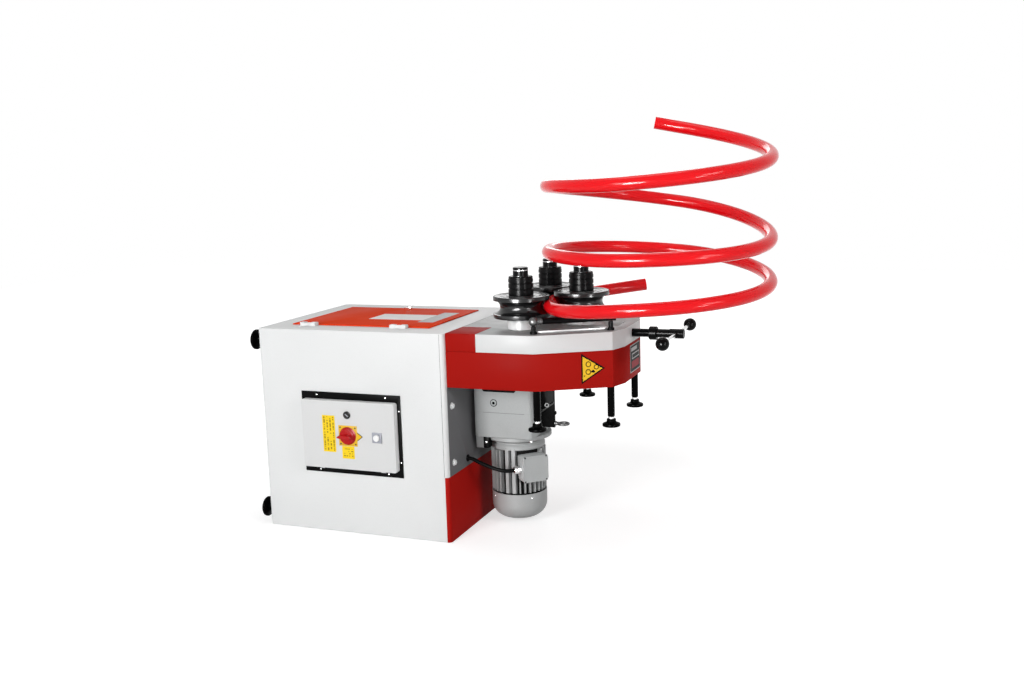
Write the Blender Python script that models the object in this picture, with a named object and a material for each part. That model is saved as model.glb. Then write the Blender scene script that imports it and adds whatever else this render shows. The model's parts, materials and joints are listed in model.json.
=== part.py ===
"""Ring roller: a three-roll bender for tubes and profiles, in its horizontal working position.

Metres, +Z up. The origin is the centre of the cabinet's underside. +X runs along the machine,
from the cabinet to the adjusting handle, and +Y runs to the back. Two fixed rollers are driven
by gears in the head; the pressing roller sits on a carriage that a screw moves along X.
"""

import math

import bmesh
import bpy
from mathutils import Vector

# Clearances and fineness
GAP = 0.0003
RUNNING_GAP = 0.0004
OVERRUN = 0.004
SINK = 0.0008
MERGE = 0.000001
ROUND_STEPS = 24
FINE_STEPS = 36
SMALL_STEPS = 16
COWL_STEPS = 28
WIRE_STEPS = 8
SMOOTH_ANGLE = math.radians(35)
TUBE_RESOLUTION = 3
ROUND_RESOLUTION = 2
BORE_RESOLUTION = 1

# Cabinet
CABINET_LENGTH = 0.600
CABINET_DEPTH = 0.525
CABINET_HEIGHT = 0.600
CABINET_WALL = 0.005
CABINET_CORNER_R = 0.012
CORNER_STEPS = 4
BASE_PLATE_T = 0.030
BASE_PLATE_MARGIN = 0.008

# Covers let into the cabinet's right side
SIDE_COVER_T = 0.002
SIDE_COVER_HEIGHT = 0.258

# Access door on the cabinet's top
DOOR_MARGIN_X = 0.075
DOOR_MARGIN_Y = 0.0825
DOOR_T = 0.003
DOOR_X = -0.005
DOOR_LAP = 0.010
DOOR_HINGE_EDGE = 0.0775
DOOR_HINGE_X = -0.0175
DOOR_HINGE_W = 0.050
DOOR_TONGUE_W = 0.016
DOOR_TONGUE_T = 0.003
DOOR_BARREL_R = 0.0055
DOOR_PIN_R = 0.003
DOOR_HINGE_OFFSET = 0.007
DOOR_HINGE_FOOT = 0.011
DOOR_TONGUE_GAP = 0.001

# Latch of the access door
LATCH_X = -0.0175
LATCH_EDGE = 0.0175
LATCH_LENGTH = 0.027
LATCH_WIDTH = 0.010
LATCH_RISE = 0.007
LATCH_SHAFT_R = 0.004
LATCH_CAM_LENGTH = 0.018
LATCH_CAM_WIDTH = 0.012
LATCH_CAM_T = 0.002
LATCH_CAM_DROP = 0.001

# Electrical enclosure let into the cabinet's front
FRAME_MARGIN_X = 0.010
FRAME_MARGIN_Z = 0.020
FRAME_T = 0.003
BOX_MARGIN = 0.004
BOX_WALL = 0.002
BOX_DEPTH = 0.100
LID_LENGTH = 0.300
LID_HEIGHT = 0.200
LID_RISE = 0.025
LID_WALL = 0.002
LID_CORNER_R = 0.006
LID_BACK_GAP = 0.0012
BOX_RIM_GAP = 0.0008
LID_BARREL_R = 0.0035
LID_PIN_R = 0.0018
LID_HINGE_EDGE = 0.050
LID_HINGE_W = 0.040
LID_TONGUE_W = 0.014

# Controls on the enclosure's lid
SWITCH_PLATE = 0.060
SWITCH_PLATE_T = 0.001
SWITCH_HUB_R = 0.0235
SWITCH_HUB_T = 0.007
SWITCH_GRIP_LENGTH = 0.046
SWITCH_GRIP_W = 0.013
SWITCH_GRIP_RISE = 0.024
SWITCH_SHAFT_R = 0.004
SWITCH_SHAFT_DEPTH = 0.030
LOCK_EDGE = 0.039
LOCK_R = 0.009
LOCK_RISE = 0.004
LOCK_SHAFT_R = 0.006
LOCK_CAM_LENGTH = 0.022
LOCK_CAM_W = 0.010
LOCK_CAM_T = 0.002
LOCK_CAM_DEPTH = 0.010
BUTTON_EDGE = 0.056
BEZEL_SIDE = 0.030
BEZEL_RISE = 0.004
BEZEL_NECK_R = 0.0112
BEZEL_DEPTH = 0.012
BUTTON_R = 0.0095
BUTTON_RISE = 0.009
BUTTON_STEM_R = 0.005
BUTTON_STEM_DEPTH = 0.022

# Levelling feet on the left side, which is the base when the machine stands upright
BASE_FOOT_EDGE_Y = 0.040
BASE_FOOT_EDGE_Z = 0.041
BASE_FOOT_REACH = 0.035
BASE_FOOT_R = 0.030
BASE_FOOT_PAD_T = 0.012
BASE_FOOT_HUB_R = 0.014
BASE_FOOT_HUB_T = 0.008
BASE_FOOT_ROD_R = 0.008
BASE_FOOT_ROD_DEPTH = 0.026

# Head: the frame that carries the rollers
HEAD_HEIGHT = 0.152
HEAD_MARGIN_Y = 0.0125
HEAD_BEND_REACH = 0.256
HEAD_CORNER_REACH = 0.447
HEAD_CORNER_Y = 0.1425
HEAD_END_REACH = 0.465
HEAD_END_Y = 0.0825
PLATE_HEIGHT = 0.050
PLATE_SKIN = 0.020
PLATE_RIM = 0.020
PLATE_END_RIM = 0.030
SKIRT_WALL = 0.004
CORNER_COVER_LENGTH = 0.090
CORNER_COVER_WIDTH = 0.1225
CORNER_COVER_WALL = 0.003
BOTTOM_PLATE_T = 0.008

# Rollers and what turns them
ROLLER_REACH = 0.180
ROLLER_SPREAD = 0.124
PRESS_REACH = 0.1365
ROLLER_R = 0.079
ROLLER_HEIGHT = 0.062
ROLLER_EDGE_R = 0.004
GROOVE_GAP = 0.0009
GROOVE_STEPS = 8
SHAFT_R = 0.021
SHOULDER_R = 0.030
SHOULDER_T = 0.003
STUB_RISE = 0.024
STUB_CHAMFER = 0.002
NUT_R = 0.035
NUT_HEIGHT = 0.053
NUT_GROOVE_DEPTH = 0.0025
NUT_GROOVE_W = 0.0025
NUT_RING_SHARES = (0.34, 0.64)
BOSS_R = 0.039
BOSS_RISE = 0.028
HOUSING_FLANGE_R = 0.052
HOUSING_FLANGE_T = 0.012
HOUSING_DROP = 0.100
GEAR_MODULE = 0.005
GEAR_TEETH = 36
PINION_TEETH = 22
GEAR_RISE = 0.009
GEAR_WIDTH = 0.025
TOOTH_ROOT_SHARE = 0.31
TOOTH_TIP_SHARE = 0.115
ROOT_DEPTH_SHARE = 1.25
PINION_SHAFT_R = 0.015
PINION_SHAFT_DEPTH = 0.048
PINION_HOLE_R = 0.030

# Carriage of the pressing roller
CARRIAGE_BACK = 0.045
CARRIAGE_FRONT = 0.055
CARRIAGE_HALF_WIDTH = 0.040
KEEPER_HALF_WIDTH = 0.062
KEEPER_T = 0.040
CARRIAGE_DROP = 0.100
CARRIAGE_SINK = 0.002

# Adjusting screw and its handle
SCREW_DROP = 0.024
SCREW_R = 0.012
SCREW_NECK_R = 0.008
SCREW_NECK_LENGTH = 0.024
SCREW_COLLAR_REACH = 0.0485
SCREW_COLLAR_W = 0.0217
SCREW_COLLAR_R = 0.019
HUB_REACH = 0.105
HUB_LENGTH = 0.041
HUB_R = 0.0135
BAR_R = 0.005
BAR_HALF_LENGTH = 0.170
KNOB_R = 0.0185
KNOB_SEAT = 0.010

# Gearmotor under the head
GEARBOX_GAP = 0.012
GEARBOX_LENGTH = 0.180
GEARBOX_DEPTH = 0.205
GEARBOX_HEIGHT = 0.1755
GEARBOX_CORNER_R = 0.014
GEARBOX_FOOT_LENGTH = 0.027
GEARBOX_FOOT_DROP = 0.037
MOTOR_OFFSET = 0.008
MOTOR_LENGTH = 0.1709
MOTOR_FLANGE_R = 0.100
MOTOR_FLANGE_T = 0.012
MOTOR_NECK_R = 0.065
MOTOR_NECK_T = 0.014
MOTOR_CORE_R = 0.067
MOTOR_FIN_R = 0.081
MOTOR_FINS = 28
MOTOR_FIN_T = 0.004
MOTOR_BELL_R = 0.060
MOTOR_BELL_T = 0.016
COWL_R = 0.082
COWL_WALL = 0.002
COWL_HEIGHT = 0.0787
COWL_ROUND_R = 0.045
COWL_INLET_R = 0.028
FAN_R = 0.070
FAN_HUB_R = 0.020
FAN_BLADES = 7
FAN_BLADE_T = 0.003
FAN_WIDTH = 0.020
FAN_DROP = 0.009
FAN_SHAFT_R = 0.010
FAN_SHAFT_LENGTH = 0.034
TERMINAL_TURN = math.radians(-45)
TERMINAL_SIDE = 0.080
TERMINAL_HEIGHT = 0.084
TERMINAL_DEPTH = 0.036
TERMINAL_RISE = 0.082
TERMINAL_PAD_REACH = 0.085
TERMINAL_PAD_SIDE = 0.064
TERMINAL_CORNER_R = 0.010
GLAND_R = 0.0125
GLAND_LENGTH = 0.022
GLAND_BORE_DEPTH = 0.012
CABLE_R = 0.0055
CABLE_WALL_Y = -0.128
CABLE_WALL_RISE = 0.023
CABLE_INSIDE = 0.016
CABLE_ROUTE = (
    (0.4275, -0.1278, 0.1834),
    (0.4190, -0.1332, 0.1845),
    (0.4070, -0.1374, 0.1868),
    (0.3930, -0.1398, 0.1900),
    (0.3780, -0.1395, 0.1935),
    (0.3630, -0.1380, 0.1975),
    (0.3480, -0.1355, 0.2015),
    (0.3330, -0.1325, 0.2060),
    (0.3180, -0.1293, 0.2108),
)

# Side guide on the plate, along the head's bevelled front
GUIDE_START_BACK = 0.0065
GUIDE_START_INWARD = 0.030
GUIDE_END_BACK = 0.013
GUIDE_END_INWARD = 0.0295
GUIDE_RISE = 0.034
GUIDE_ROD_R = 0.0085
GUIDE_BALL_R = 0.0125
GUIDE_OVERHANG = 0.014
GUIDE_POST_R = 0.0065
GUIDE_POST_FOOT_R = 0.010
GUIDE_POST_FOOT_T = 0.006
STRIP_OFFSET = 0.024
STRIP_WIDTH = 0.032
STRIP_T = 0.006
STRIP_MARGIN = 0.006

# Bracket that hangs beside the gearbox
BRACKET_GAP = 0.0015
BRACKET_Y = -0.020
BRACKET_LENGTH = 0.041
BRACKET_T = 0.008
BRACKET_HEIGHT = 0.155
BRACKET_TAB_DEPTH = 0.040
BRACKET_BOLT_DROP = 0.088
BRACKET_BOLT_R = 0.007
BRACKET_BOLT_RISE = 0.006
LEVER_R = 0.0028
LEVER_DROP = 0.110
LEVER_RISE = 0.030
EYE_DROP = 0.143
EYE_RING_R = 0.015
EYE_WIRE_R = 0.0035
EYE_SHANK_R = 0.005
EYE_SHANK_LENGTH = 0.012

# Levelling feet that hang from the head
HEAD_FOOT_NEAR_INWARD = 0.0225
HEAD_FOOT_FAR_BACK = 0.030
HEAD_FOOT_FAR_INWARD = 0.0175
HEAD_FOOT_DROP = 0.113
HEAD_FOOT_ROD_R = 0.010
HEAD_FOOT_ABOVE = 0.014
HEAD_FOOT_NECK_R = 0.0065
HEAD_FOOT_NECK_T = 0.006
HEAD_FOOT_HUB_R = 0.013
HEAD_FOOT_HUB_T = 0.014
HEAD_FOOT_PAD_R = 0.025
HEAD_FOOT_PAD_T = 0.007

# Tube being rolled: three rising turns that leave the rollers
RING_R = 0.302
RING_TUBE_R = 0.018
RING_TUBE_WALL = 0.0025
RING_RISE = 0.4975
RING_START_DEG = 105
RING_TURNS = 3
RING_LEVEL_END_DEG = 210
RING_FINE_FROM_DEG = 150
RING_FINE_TO_DEG = 210
RING_FINE_STEP_DEG = 5
RING_STEP_DEG = 15
RING_FIRST_MARK_DEG = 270
RING_MARK_STEP_DEG = 90
RING_RISE_SHARES = (
    0.038,
    0.105,
    0.237,
    0.296,
    0.292,
    0.342,
    0.529,
    0.649,
    0.676,
    0.774,
    0.965,
    1.17,
)

# Places worked out from the sizes above
SIDE_X = CABINET_LENGTH / 2
FRONT_Y = -CABINET_DEPTH / 2
HEAD_BOTTOM = CABINET_HEIGHT - HEAD_HEIGHT
HEAD_X = SIDE_X + GAP
HEAD_BEND_X = SIDE_X + HEAD_BEND_REACH
HEAD_CORNER_X = SIDE_X + HEAD_CORNER_REACH
HEAD_END_X = SIDE_X + HEAD_END_REACH
HEAD_HALF_WIDTH = CABINET_DEPTH / 2 - HEAD_MARGIN_Y
SIDE_COVER_LOW = HEAD_BOTTOM - SIDE_COVER_HEIGHT
BASE_FOOT_SPREAD_Y = CABINET_DEPTH / 2 - BASE_FOOT_EDGE_Y
BASE_FOOT_SPREAD_Z = CABINET_HEIGHT / 2 - BASE_FOOT_EDGE_Z
ROLLER_X = SIDE_X + ROLLER_REACH
PRESS_X = ROLLER_X + PRESS_REACH
PLATE_BOTTOM = CABINET_HEIGHT - PLATE_HEIGHT
SKIN_BOTTOM = CABINET_HEIGHT - PLATE_SKIN
FLOOR_TOP = HEAD_BOTTOM + BOTTOM_PLATE_T
BOSS_TOP = CABINET_HEIGHT + BOSS_RISE
SHOULDER_LOW = BOSS_TOP + GAP
ROLLER_LOW = SHOULDER_LOW + SHOULDER_T + GAP
ROLLER_TOP = ROLLER_LOW + ROLLER_HEIGHT
GROOVE_Z = ROLLER_LOW + ROLLER_HEIGHT / 2
NUT_LOW = ROLLER_TOP + GAP
NUT_TOP = NUT_LOW + NUT_HEIGHT
STUB_TOP = NUT_TOP + STUB_RISE
GEAR_LOW = FLOOR_TOP + GEAR_RISE
GEAR_TOP = GEAR_LOW + GEAR_WIDTH
DOOR_LENGTH = CABINET_LENGTH - 2 * DOOR_MARGIN_X
DOOR_DEPTH = CABINET_DEPTH - 2 * DOOR_MARGIN_Y
DOOR_HINGE_SPREAD = DOOR_LENGTH / 2 - DOOR_HINGE_EDGE
DOOR_HINGE_Y = -DOOR_DEPTH / 2 - DOOR_HINGE_OFFSET
DOOR_HINGE_Z = CABINET_HEIGHT + GAP + DOOR_BARREL_R
PANEL_Z = CABINET_HEIGHT / 2
FRAME_LENGTH = LID_LENGTH + 2 * FRAME_MARGIN_X
FRAME_HEIGHT = LID_HEIGHT + 2 * FRAME_MARGIN_Z
BOX_LENGTH = LID_LENGTH - 2 * BOX_MARGIN
BOX_HEIGHT = LID_HEIGHT - 2 * BOX_MARGIN
LID_HINGE_SPREAD = LID_LENGTH / 2 - LID_HINGE_EDGE
LOCK_Z = LID_HEIGHT / 2 - LOCK_EDGE
BUTTON_X = LID_LENGTH / 2 - BUTTON_EDGE
FRAME_FRONT_Y = FRONT_Y - GAP - FRAME_T
LID_FRONT_Y = FRONT_Y - LID_RISE
LID_BACK_Y = FRAME_FRONT_Y - LID_BACK_GAP
LID_BOTTOM = PANEL_Z - LID_HEIGHT / 2
LID_HINGE_Y = FRAME_FRONT_Y - GAP - LID_BARREL_R
LID_HINGE_Z = LID_BOTTOM - GAP - LID_BARREL_R
LATCH_Y = DOOR_DEPTH / 2 - LATCH_EDGE
GEARBOX_X = SIDE_X + GEARBOX_GAP + GEARBOX_LENGTH / 2
GEARBOX_TOP = HEAD_BOTTOM - GAP
GEARBOX_BOTTOM = GEARBOX_TOP - GEARBOX_HEIGHT
MOTOR_X = GEARBOX_X + MOTOR_OFFSET
MOTOR_TOP = GEARBOX_BOTTOM - GAP
MOTOR_BOTTOM = MOTOR_TOP - MOTOR_LENGTH
COWL_BOTTOM = MOTOR_BOTTOM - GAP - COWL_HEIGHT
TERMINAL_Z = MOTOR_BOTTOM + TERMINAL_RISE
CABLE_WALL_Z = SIDE_COVER_LOW + CABLE_WALL_RISE
CARRIAGE_TOP = CABINET_HEIGHT - CARRIAGE_SINK
SCREW_Z = CABINET_HEIGHT - SCREW_DROP
SCREW_COLLAR_X = HEAD_END_X + SCREW_COLLAR_REACH
HUB_X = HEAD_END_X + HUB_REACH
BAR_X = HUB_X + HUB_LENGTH / 2
GUIDE_START = (HEAD_BEND_X - GUIDE_START_BACK, GUIDE_START_INWARD - HEAD_HALF_WIDTH)
GUIDE_END = (HEAD_CORNER_X - GUIDE_END_BACK, GUIDE_END_INWARD - HEAD_CORNER_Y)
BRACKET_X = GEARBOX_X + GEARBOX_LENGTH / 2 + BRACKET_GAP + BRACKET_LENGTH / 2
BRACKET_BOLT_Z = HEAD_BOTTOM - BRACKET_BOLT_DROP
EYE_Z = HEAD_BOTTOM - EYE_DROP
HEAD_FOOT_NEAR_Y = HEAD_HALF_WIDTH - HEAD_FOOT_NEAR_INWARD
HEAD_FOOT_FAR_X = HEAD_END_X - HEAD_FOOT_FAR_BACK
HEAD_FOOT_FAR_Y = HEAD_CORNER_Y - HEAD_FOOT_FAR_INWARD
HEAD_FOOT_BOTTOM = HEAD_BOTTOM - HEAD_FOOT_DROP

# The ring touches all three rollers' grooves when the groove centres lie this far from the axes
GROOVE_R = (
    (PRESS_REACH**2 + 2 * PRESS_REACH * RING_R + ROLLER_SPREAD**2)
    / (2 * (PRESS_REACH + 2 * RING_R))
)
RING_X = PRESS_X - GROOVE_R + RING_R

# The pinion stands where both of the rollers' gears mesh with it
MESH_DISTANCE = GEAR_MODULE * (GEAR_TEETH + PINION_TEETH) / 2
PINION_X = ROLLER_X - math.sqrt(MESH_DISTANCE**2 - ROLLER_SPREAD**2)


def clear_scene():
    """Empties the scene."""
    for item in list(bpy.data.objects):
        bpy.data.objects.remove(item, do_unlink=True)


def finish(name, colour, roughness, metallic=0.0):
    """A plain Principled material."""
    made = bpy.data.materials.new(name)
    made.use_nodes = True
    shader = made.node_tree.nodes["Principled BSDF"]
    shader.inputs["Base Color"].default_value = (*colour, 1.0)
    shader.inputs["Roughness"].default_value = roughness
    shader.inputs["Metallic"].default_value = metallic
    return made


def place_mesh(name, mesh, look=None, place=(0, 0, 0), turn=(0, 0, 0)):
    """Links a mesh as an object with its material, location and rotation."""
    if look is not None:
        mesh.materials.append(look)
    piece = bpy.data.objects.new(name, mesh)
    piece.location = place
    piece.rotation_euler = turn
    bpy.context.collection.objects.link(piece)
    return piece


def closed_mesh(name, shape):
    """Turns a bmesh into a mesh whose faces point out."""
    bmesh.ops.remove_doubles(shape, verts=shape.verts, dist=MERGE)
    bmesh.ops.recalc_face_normals(shape, faces=shape.faces)
    mesh = bpy.data.meshes.new(name)
    shape.to_mesh(mesh)
    shape.free()
    return mesh


def smooth(piece):
    """Shades the round faces smooth and keeps the edges sharp."""
    piece.data.shade_smooth()
    piece.data.set_sharp_from_angle(angle=SMOOTH_ANGLE)
    return piece


def prism(name, outline, low, high, look=None, place=(0, 0, 0), turn=(0, 0, 0)):
    """An outline in the XY plane, extruded from low to high."""
    shape = bmesh.new()
    face = shape.faces.new([shape.verts.new((x, y, low)) for x, y in outline])
    risen = bmesh.ops.extrude_face_region(shape, geom=[face])
    moved = [item for item in risen["geom"] if isinstance(item, bmesh.types.BMVert)]
    bmesh.ops.translate(shape, verts=moved, vec=(0, 0, high - low))
    return place_mesh(name, closed_mesh(name, shape), look, place, turn)


def block(name, low, high, look=None, place=(0, 0, 0), turn=(0, 0, 0)):
    """A box between two corners."""
    outline = [(low[0], low[1]), (high[0], low[1]), (high[0], high[1]), (low[0], high[1])]
    return prism(name, outline, low[2], high[2], look, place, turn)


def lengthwise(name, section, low, high, look=None, place=(0, 0, 0)):
    """A section of (y, z) points, extruded along X from low to high."""
    return prism(name, section, low, high, look, place, (math.pi / 2, 0, math.pi / 2))


def turned(name, profile, look=None, place=(0, 0, 0), turn=(0, 0, 0), steps=ROUND_STEPS):
    """A profile of (radius, height) points spun round its own Z. A ring's profile is a loop."""
    shape = bmesh.new()
    points = [shape.verts.new((radius, 0, height)) for radius, height in profile]
    edges = [shape.edges.new(pair) for pair in zip(points, points[1:])]
    if profile[0][0] > 0:
        edges.append(shape.edges.new((points[-1], points[0])))
    bmesh.ops.spin(
        shape,
        geom=points + edges,
        axis=(0, 0, 1),
        cent=(0, 0, 0),
        angle=math.tau,
        steps=steps,
        use_merge=True,
    )
    return smooth(place_mesh(name, closed_mesh(name, shape), look, place, turn))


def rod(name, radius, low, high, look=None, place=(0, 0, 0), turn=(0, 0, 0), steps=SMALL_STEPS):
    """A plain round bar along its own Z."""
    profile = [(0, high), (radius, high), (radius, low), (0, low)]
    return turned(name, profile, look, place, turn, steps)


def swept(name, points, radius, resolution, look=None):
    """A round bar along a line of points, made as a curve and kept as a mesh."""
    curve = bpy.data.curves.new(name, "CURVE")
    curve.dimensions = "3D"
    curve.bevel_depth = radius
    curve.bevel_resolution = resolution
    curve.use_fill_caps = True
    line = curve.splines.new("POLY")
    line.points.add(len(points) - 1)
    for spot, point in zip(line.points, points):
        spot.co = (*point, 1.0)
    return smooth(place_mesh(name, curve_surface(name, curve), look))


def curve_surface(name, curve):
    """The closed mesh of a curve's evaluated surface."""
    source = bpy.data.objects.new(name + "_curve", curve)
    bpy.context.collection.objects.link(source)
    seen = source.evaluated_get(bpy.context.evaluated_depsgraph_get())
    shape = bmesh.new()
    shape.from_mesh(seen.to_mesh())
    seen.to_mesh_clear()
    bpy.data.objects.remove(source, do_unlink=True)
    return closed_mesh(name, shape)


def hide(helper):
    """Marks a cutter or an added shape as a construction aid."""
    helper.hide_render = True
    helper.display_type = "WIRE"


def combine(piece, helpers, operation):
    """Adds one Boolean for each helper shape."""
    for helper in helpers:
        modifier = piece.modifiers.new(helper.name, "BOOLEAN")
        modifier.operation = operation
        modifier.solver = "EXACT"
        modifier.object = helper
        hide(helper)
    return piece


def cut(piece, *cutters):
    """Takes the cutters' shapes out of the piece."""
    return combine(piece, cutters, "DIFFERENCE")


def fuse(piece, *additions):
    """Makes the additions part of the piece."""
    return combine(piece, additions, "UNION")


def pivot(name, place):
    """An empty on a joint's axis."""
    empty = bpy.data.objects.new(name, None)
    empty.location = place
    bpy.context.collection.objects.link(empty)
    return empty


def hang(anchor, *pieces):
    """Parents pieces to an unturned empty and keeps them where they are."""
    for piece in pieces:
        piece.parent = anchor
        piece.location = Vector(piece.location) - world_place(anchor)


def world_place(item):
    """Where an unturned chain of parents puts an object."""
    here = Vector(item.location)
    while item.parent is not None:
        item = item.parent
        here = here + Vector(item.location)
    return here


def arc(centre, radius, start, end, steps):
    """Points of a circle between two angles in radians."""
    turns = [start + (end - start) * step / steps for step in range(steps + 1)]
    return [(centre[0] + radius * math.cos(a), centre[1] + radius * math.sin(a)) for a in turns]


def rounded_rectangle(length, depth, radius, steps=CORNER_STEPS):
    """A rectangle round the origin with round corners."""
    across, up = length / 2 - radius, depth / 2 - radius
    quarter = math.pi / 2
    corners = ((across, up), (-across, up), (-across, -up), (across, -up))
    points = []
    for index, corner in enumerate(corners):
        points += arc(corner, radius, index * quarter, (index + 1) * quarter, steps)
    return points


def mirrored(points):
    """Adds the same points on the other side of the X axis, in reverse order."""
    return points + [(x, -y) for x, y in reversed(points)]


def inset(points, distance):
    """Moves each side of a convex outline, given counter-clockwise, inwards by a distance."""
    count = len(points)
    lines = []
    for index in range(count):
        start = Vector(points[index])
        along = (Vector(points[(index + 1) % count]) - start).normalized()
        inward = Vector((-along.y, along.x))
        lines.append((start + inward * distance, along))
    moved = []
    for index in range(count):
        (first, u), (second, v) = lines[index - 1], lines[index]
        share = (second - first).cross(v) / u.cross(v)
        moved.append(tuple(first + u * share))
    return moved


def head_outline(start_x=HEAD_X):
    """The head seen from above, counter-clockwise from its front corner at the cabinet."""
    front = [
        (start_x, -HEAD_HALF_WIDTH),
        (HEAD_BEND_X, -HEAD_HALF_WIDTH),
        (HEAD_CORNER_X, -HEAD_CORNER_Y),
        (HEAD_END_X, -HEAD_END_Y),
    ]
    return mirrored(front)


def wrap_path(depth):
    """The cabinet's right side and its two round corners, this far below the surface."""
    across = SIDE_X - CABINET_CORNER_R
    along = -FRONT_Y - CABINET_CORNER_R
    radius = CABINET_CORNER_R - depth
    quarter = math.pi / 2
    front = arc((across, -along), radius, -quarter, 0, CORNER_STEPS)
    return mirrored(front)


def build_cabinet(look, inner_look):
    """The sheet-steel cabinet and the heavy plate inside its left wall."""
    outline = rounded_rectangle(CABINET_LENGTH, CABINET_DEPTH, CABINET_CORNER_R)
    shell = prism("cabinet_shell", outline, 0, CABINET_HEIGHT, look)
    inner = rounded_rectangle(
        CABINET_LENGTH - 2 * CABINET_WALL,
        CABINET_DEPTH - 2 * CABINET_WALL,
        CABINET_CORNER_R - CABINET_WALL,
    )
    hollow = prism("cabinet_hollow", inner, CABINET_WALL, CABINET_HEIGHT - CABINET_WALL)
    hatch = block(
        "door_opening",
        (
            DOOR_X - DOOR_LENGTH / 2 + DOOR_LAP,
            -DOOR_DEPTH / 2 + DOOR_LAP,
            CABINET_HEIGHT - CABINET_WALL - OVERRUN,
        ),
        (DOOR_X + DOOR_LENGTH / 2 - DOOR_LAP, DOOR_DEPTH / 2 - DOOR_LAP, CABINET_HEIGHT + OVERRUN),
    )
    window = block(
        "enclosure_window",
        (-BOX_LENGTH / 2 - GAP, FRONT_Y - OVERRUN, PANEL_Z - BOX_HEIGHT / 2 - GAP),
        (BOX_LENGTH / 2 + GAP, FRONT_Y + CABINET_WALL + OVERRUN, PANEL_Z + BOX_HEIGHT / 2 + GAP),
    )
    low_recess = prism(
        "lower_recess",
        wrap_path(-OVERRUN) + list(reversed(wrap_path(SIDE_COVER_T + GAP))),
        -OVERRUN,
        SIDE_COVER_LOW,
    )
    side_recess = block(
        "side_recess",
        (SIDE_X - SIDE_COVER_T - GAP, FRONT_Y + CABINET_CORNER_R, SIDE_COVER_LOW - SINK),
        (SIDE_X + OVERRUN, -FRONT_Y - CABINET_CORNER_R, HEAD_BOTTOM),
    )
    cut(shell, hollow, hatch, window, low_recess, side_recess, cable_hole("wall_cable_hole"))
    cut(shell, *[foot_hole(name, y, z) for name, y, z in base_foot_places("wall_hole")])

    base_low = (-SIDE_X + CABINET_WALL + GAP, FRONT_Y + CABINET_WALL + BASE_PLATE_MARGIN, CABINET_WALL + GAP)
    base_high = (
        -SIDE_X + CABINET_WALL + BASE_PLATE_T,
        -FRONT_Y - CABINET_WALL - BASE_PLATE_MARGIN,
        CABINET_HEIGHT - CABINET_WALL - BASE_PLATE_MARGIN,
    )
    base = block("base_plate", base_low, base_high, inner_look)
    cut(base, *[foot_hole(name, y, z) for name, y, z in base_foot_places("plate_hole")])


def base_foot_places(name):
    """The four feet of the upright position: a name for each, with its Y and Z."""
    places = []
    for side, y in (("front", -BASE_FOOT_SPREAD_Y), ("back", BASE_FOOT_SPREAD_Y)):
        for level, z in (("low", PANEL_Z - BASE_FOOT_SPREAD_Z), ("high", PANEL_Z + BASE_FOOT_SPREAD_Z)):
            places.append((f"{name}_{side}_{level}", y, z))
    return places


def foot_hole(name, y, z):
    """The hole of one foot's rod, through the left wall and the plate behind it."""
    return rod(
        name,
        BASE_FOOT_ROD_R + RUNNING_GAP,
        -OVERRUN,
        CABINET_WALL + BASE_PLATE_T + OVERRUN,
        place=(-SIDE_X, y, z),
        turn=(0, math.pi / 2, 0),
    )


def cable_hole(name):
    """Where the motor's lead passes through the cabinet's right side."""
    return rod(
        name,
        CABLE_R + RUNNING_GAP,
        SIDE_X - CABINET_WALL - OVERRUN,
        SIDE_X + OVERRUN,
        place=(0, CABLE_WALL_Y, CABLE_WALL_Z),
        turn=(0, math.pi / 2, 0),
    )


def build_side_covers(grey, red):
    """The grey plate under the head and the red cover below it, both flush with the cabinet."""
    plate = block(
        "side_plate",
        (SIDE_X - SIDE_COVER_T, FRONT_Y + CABINET_CORNER_R + GAP, SIDE_COVER_LOW + GAP),
        (SIDE_X, -FRONT_Y - CABINET_CORNER_R - GAP, HEAD_BOTTOM - GAP),
        grey,
    )
    cut(plate, cable_hole("plate_cable_hole"))
    outline = wrap_path(0) + list(reversed(wrap_path(SIDE_COVER_T)))
    prism("lower_side_panel", outline, 0, SIDE_COVER_LOW - GAP, red)


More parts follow.
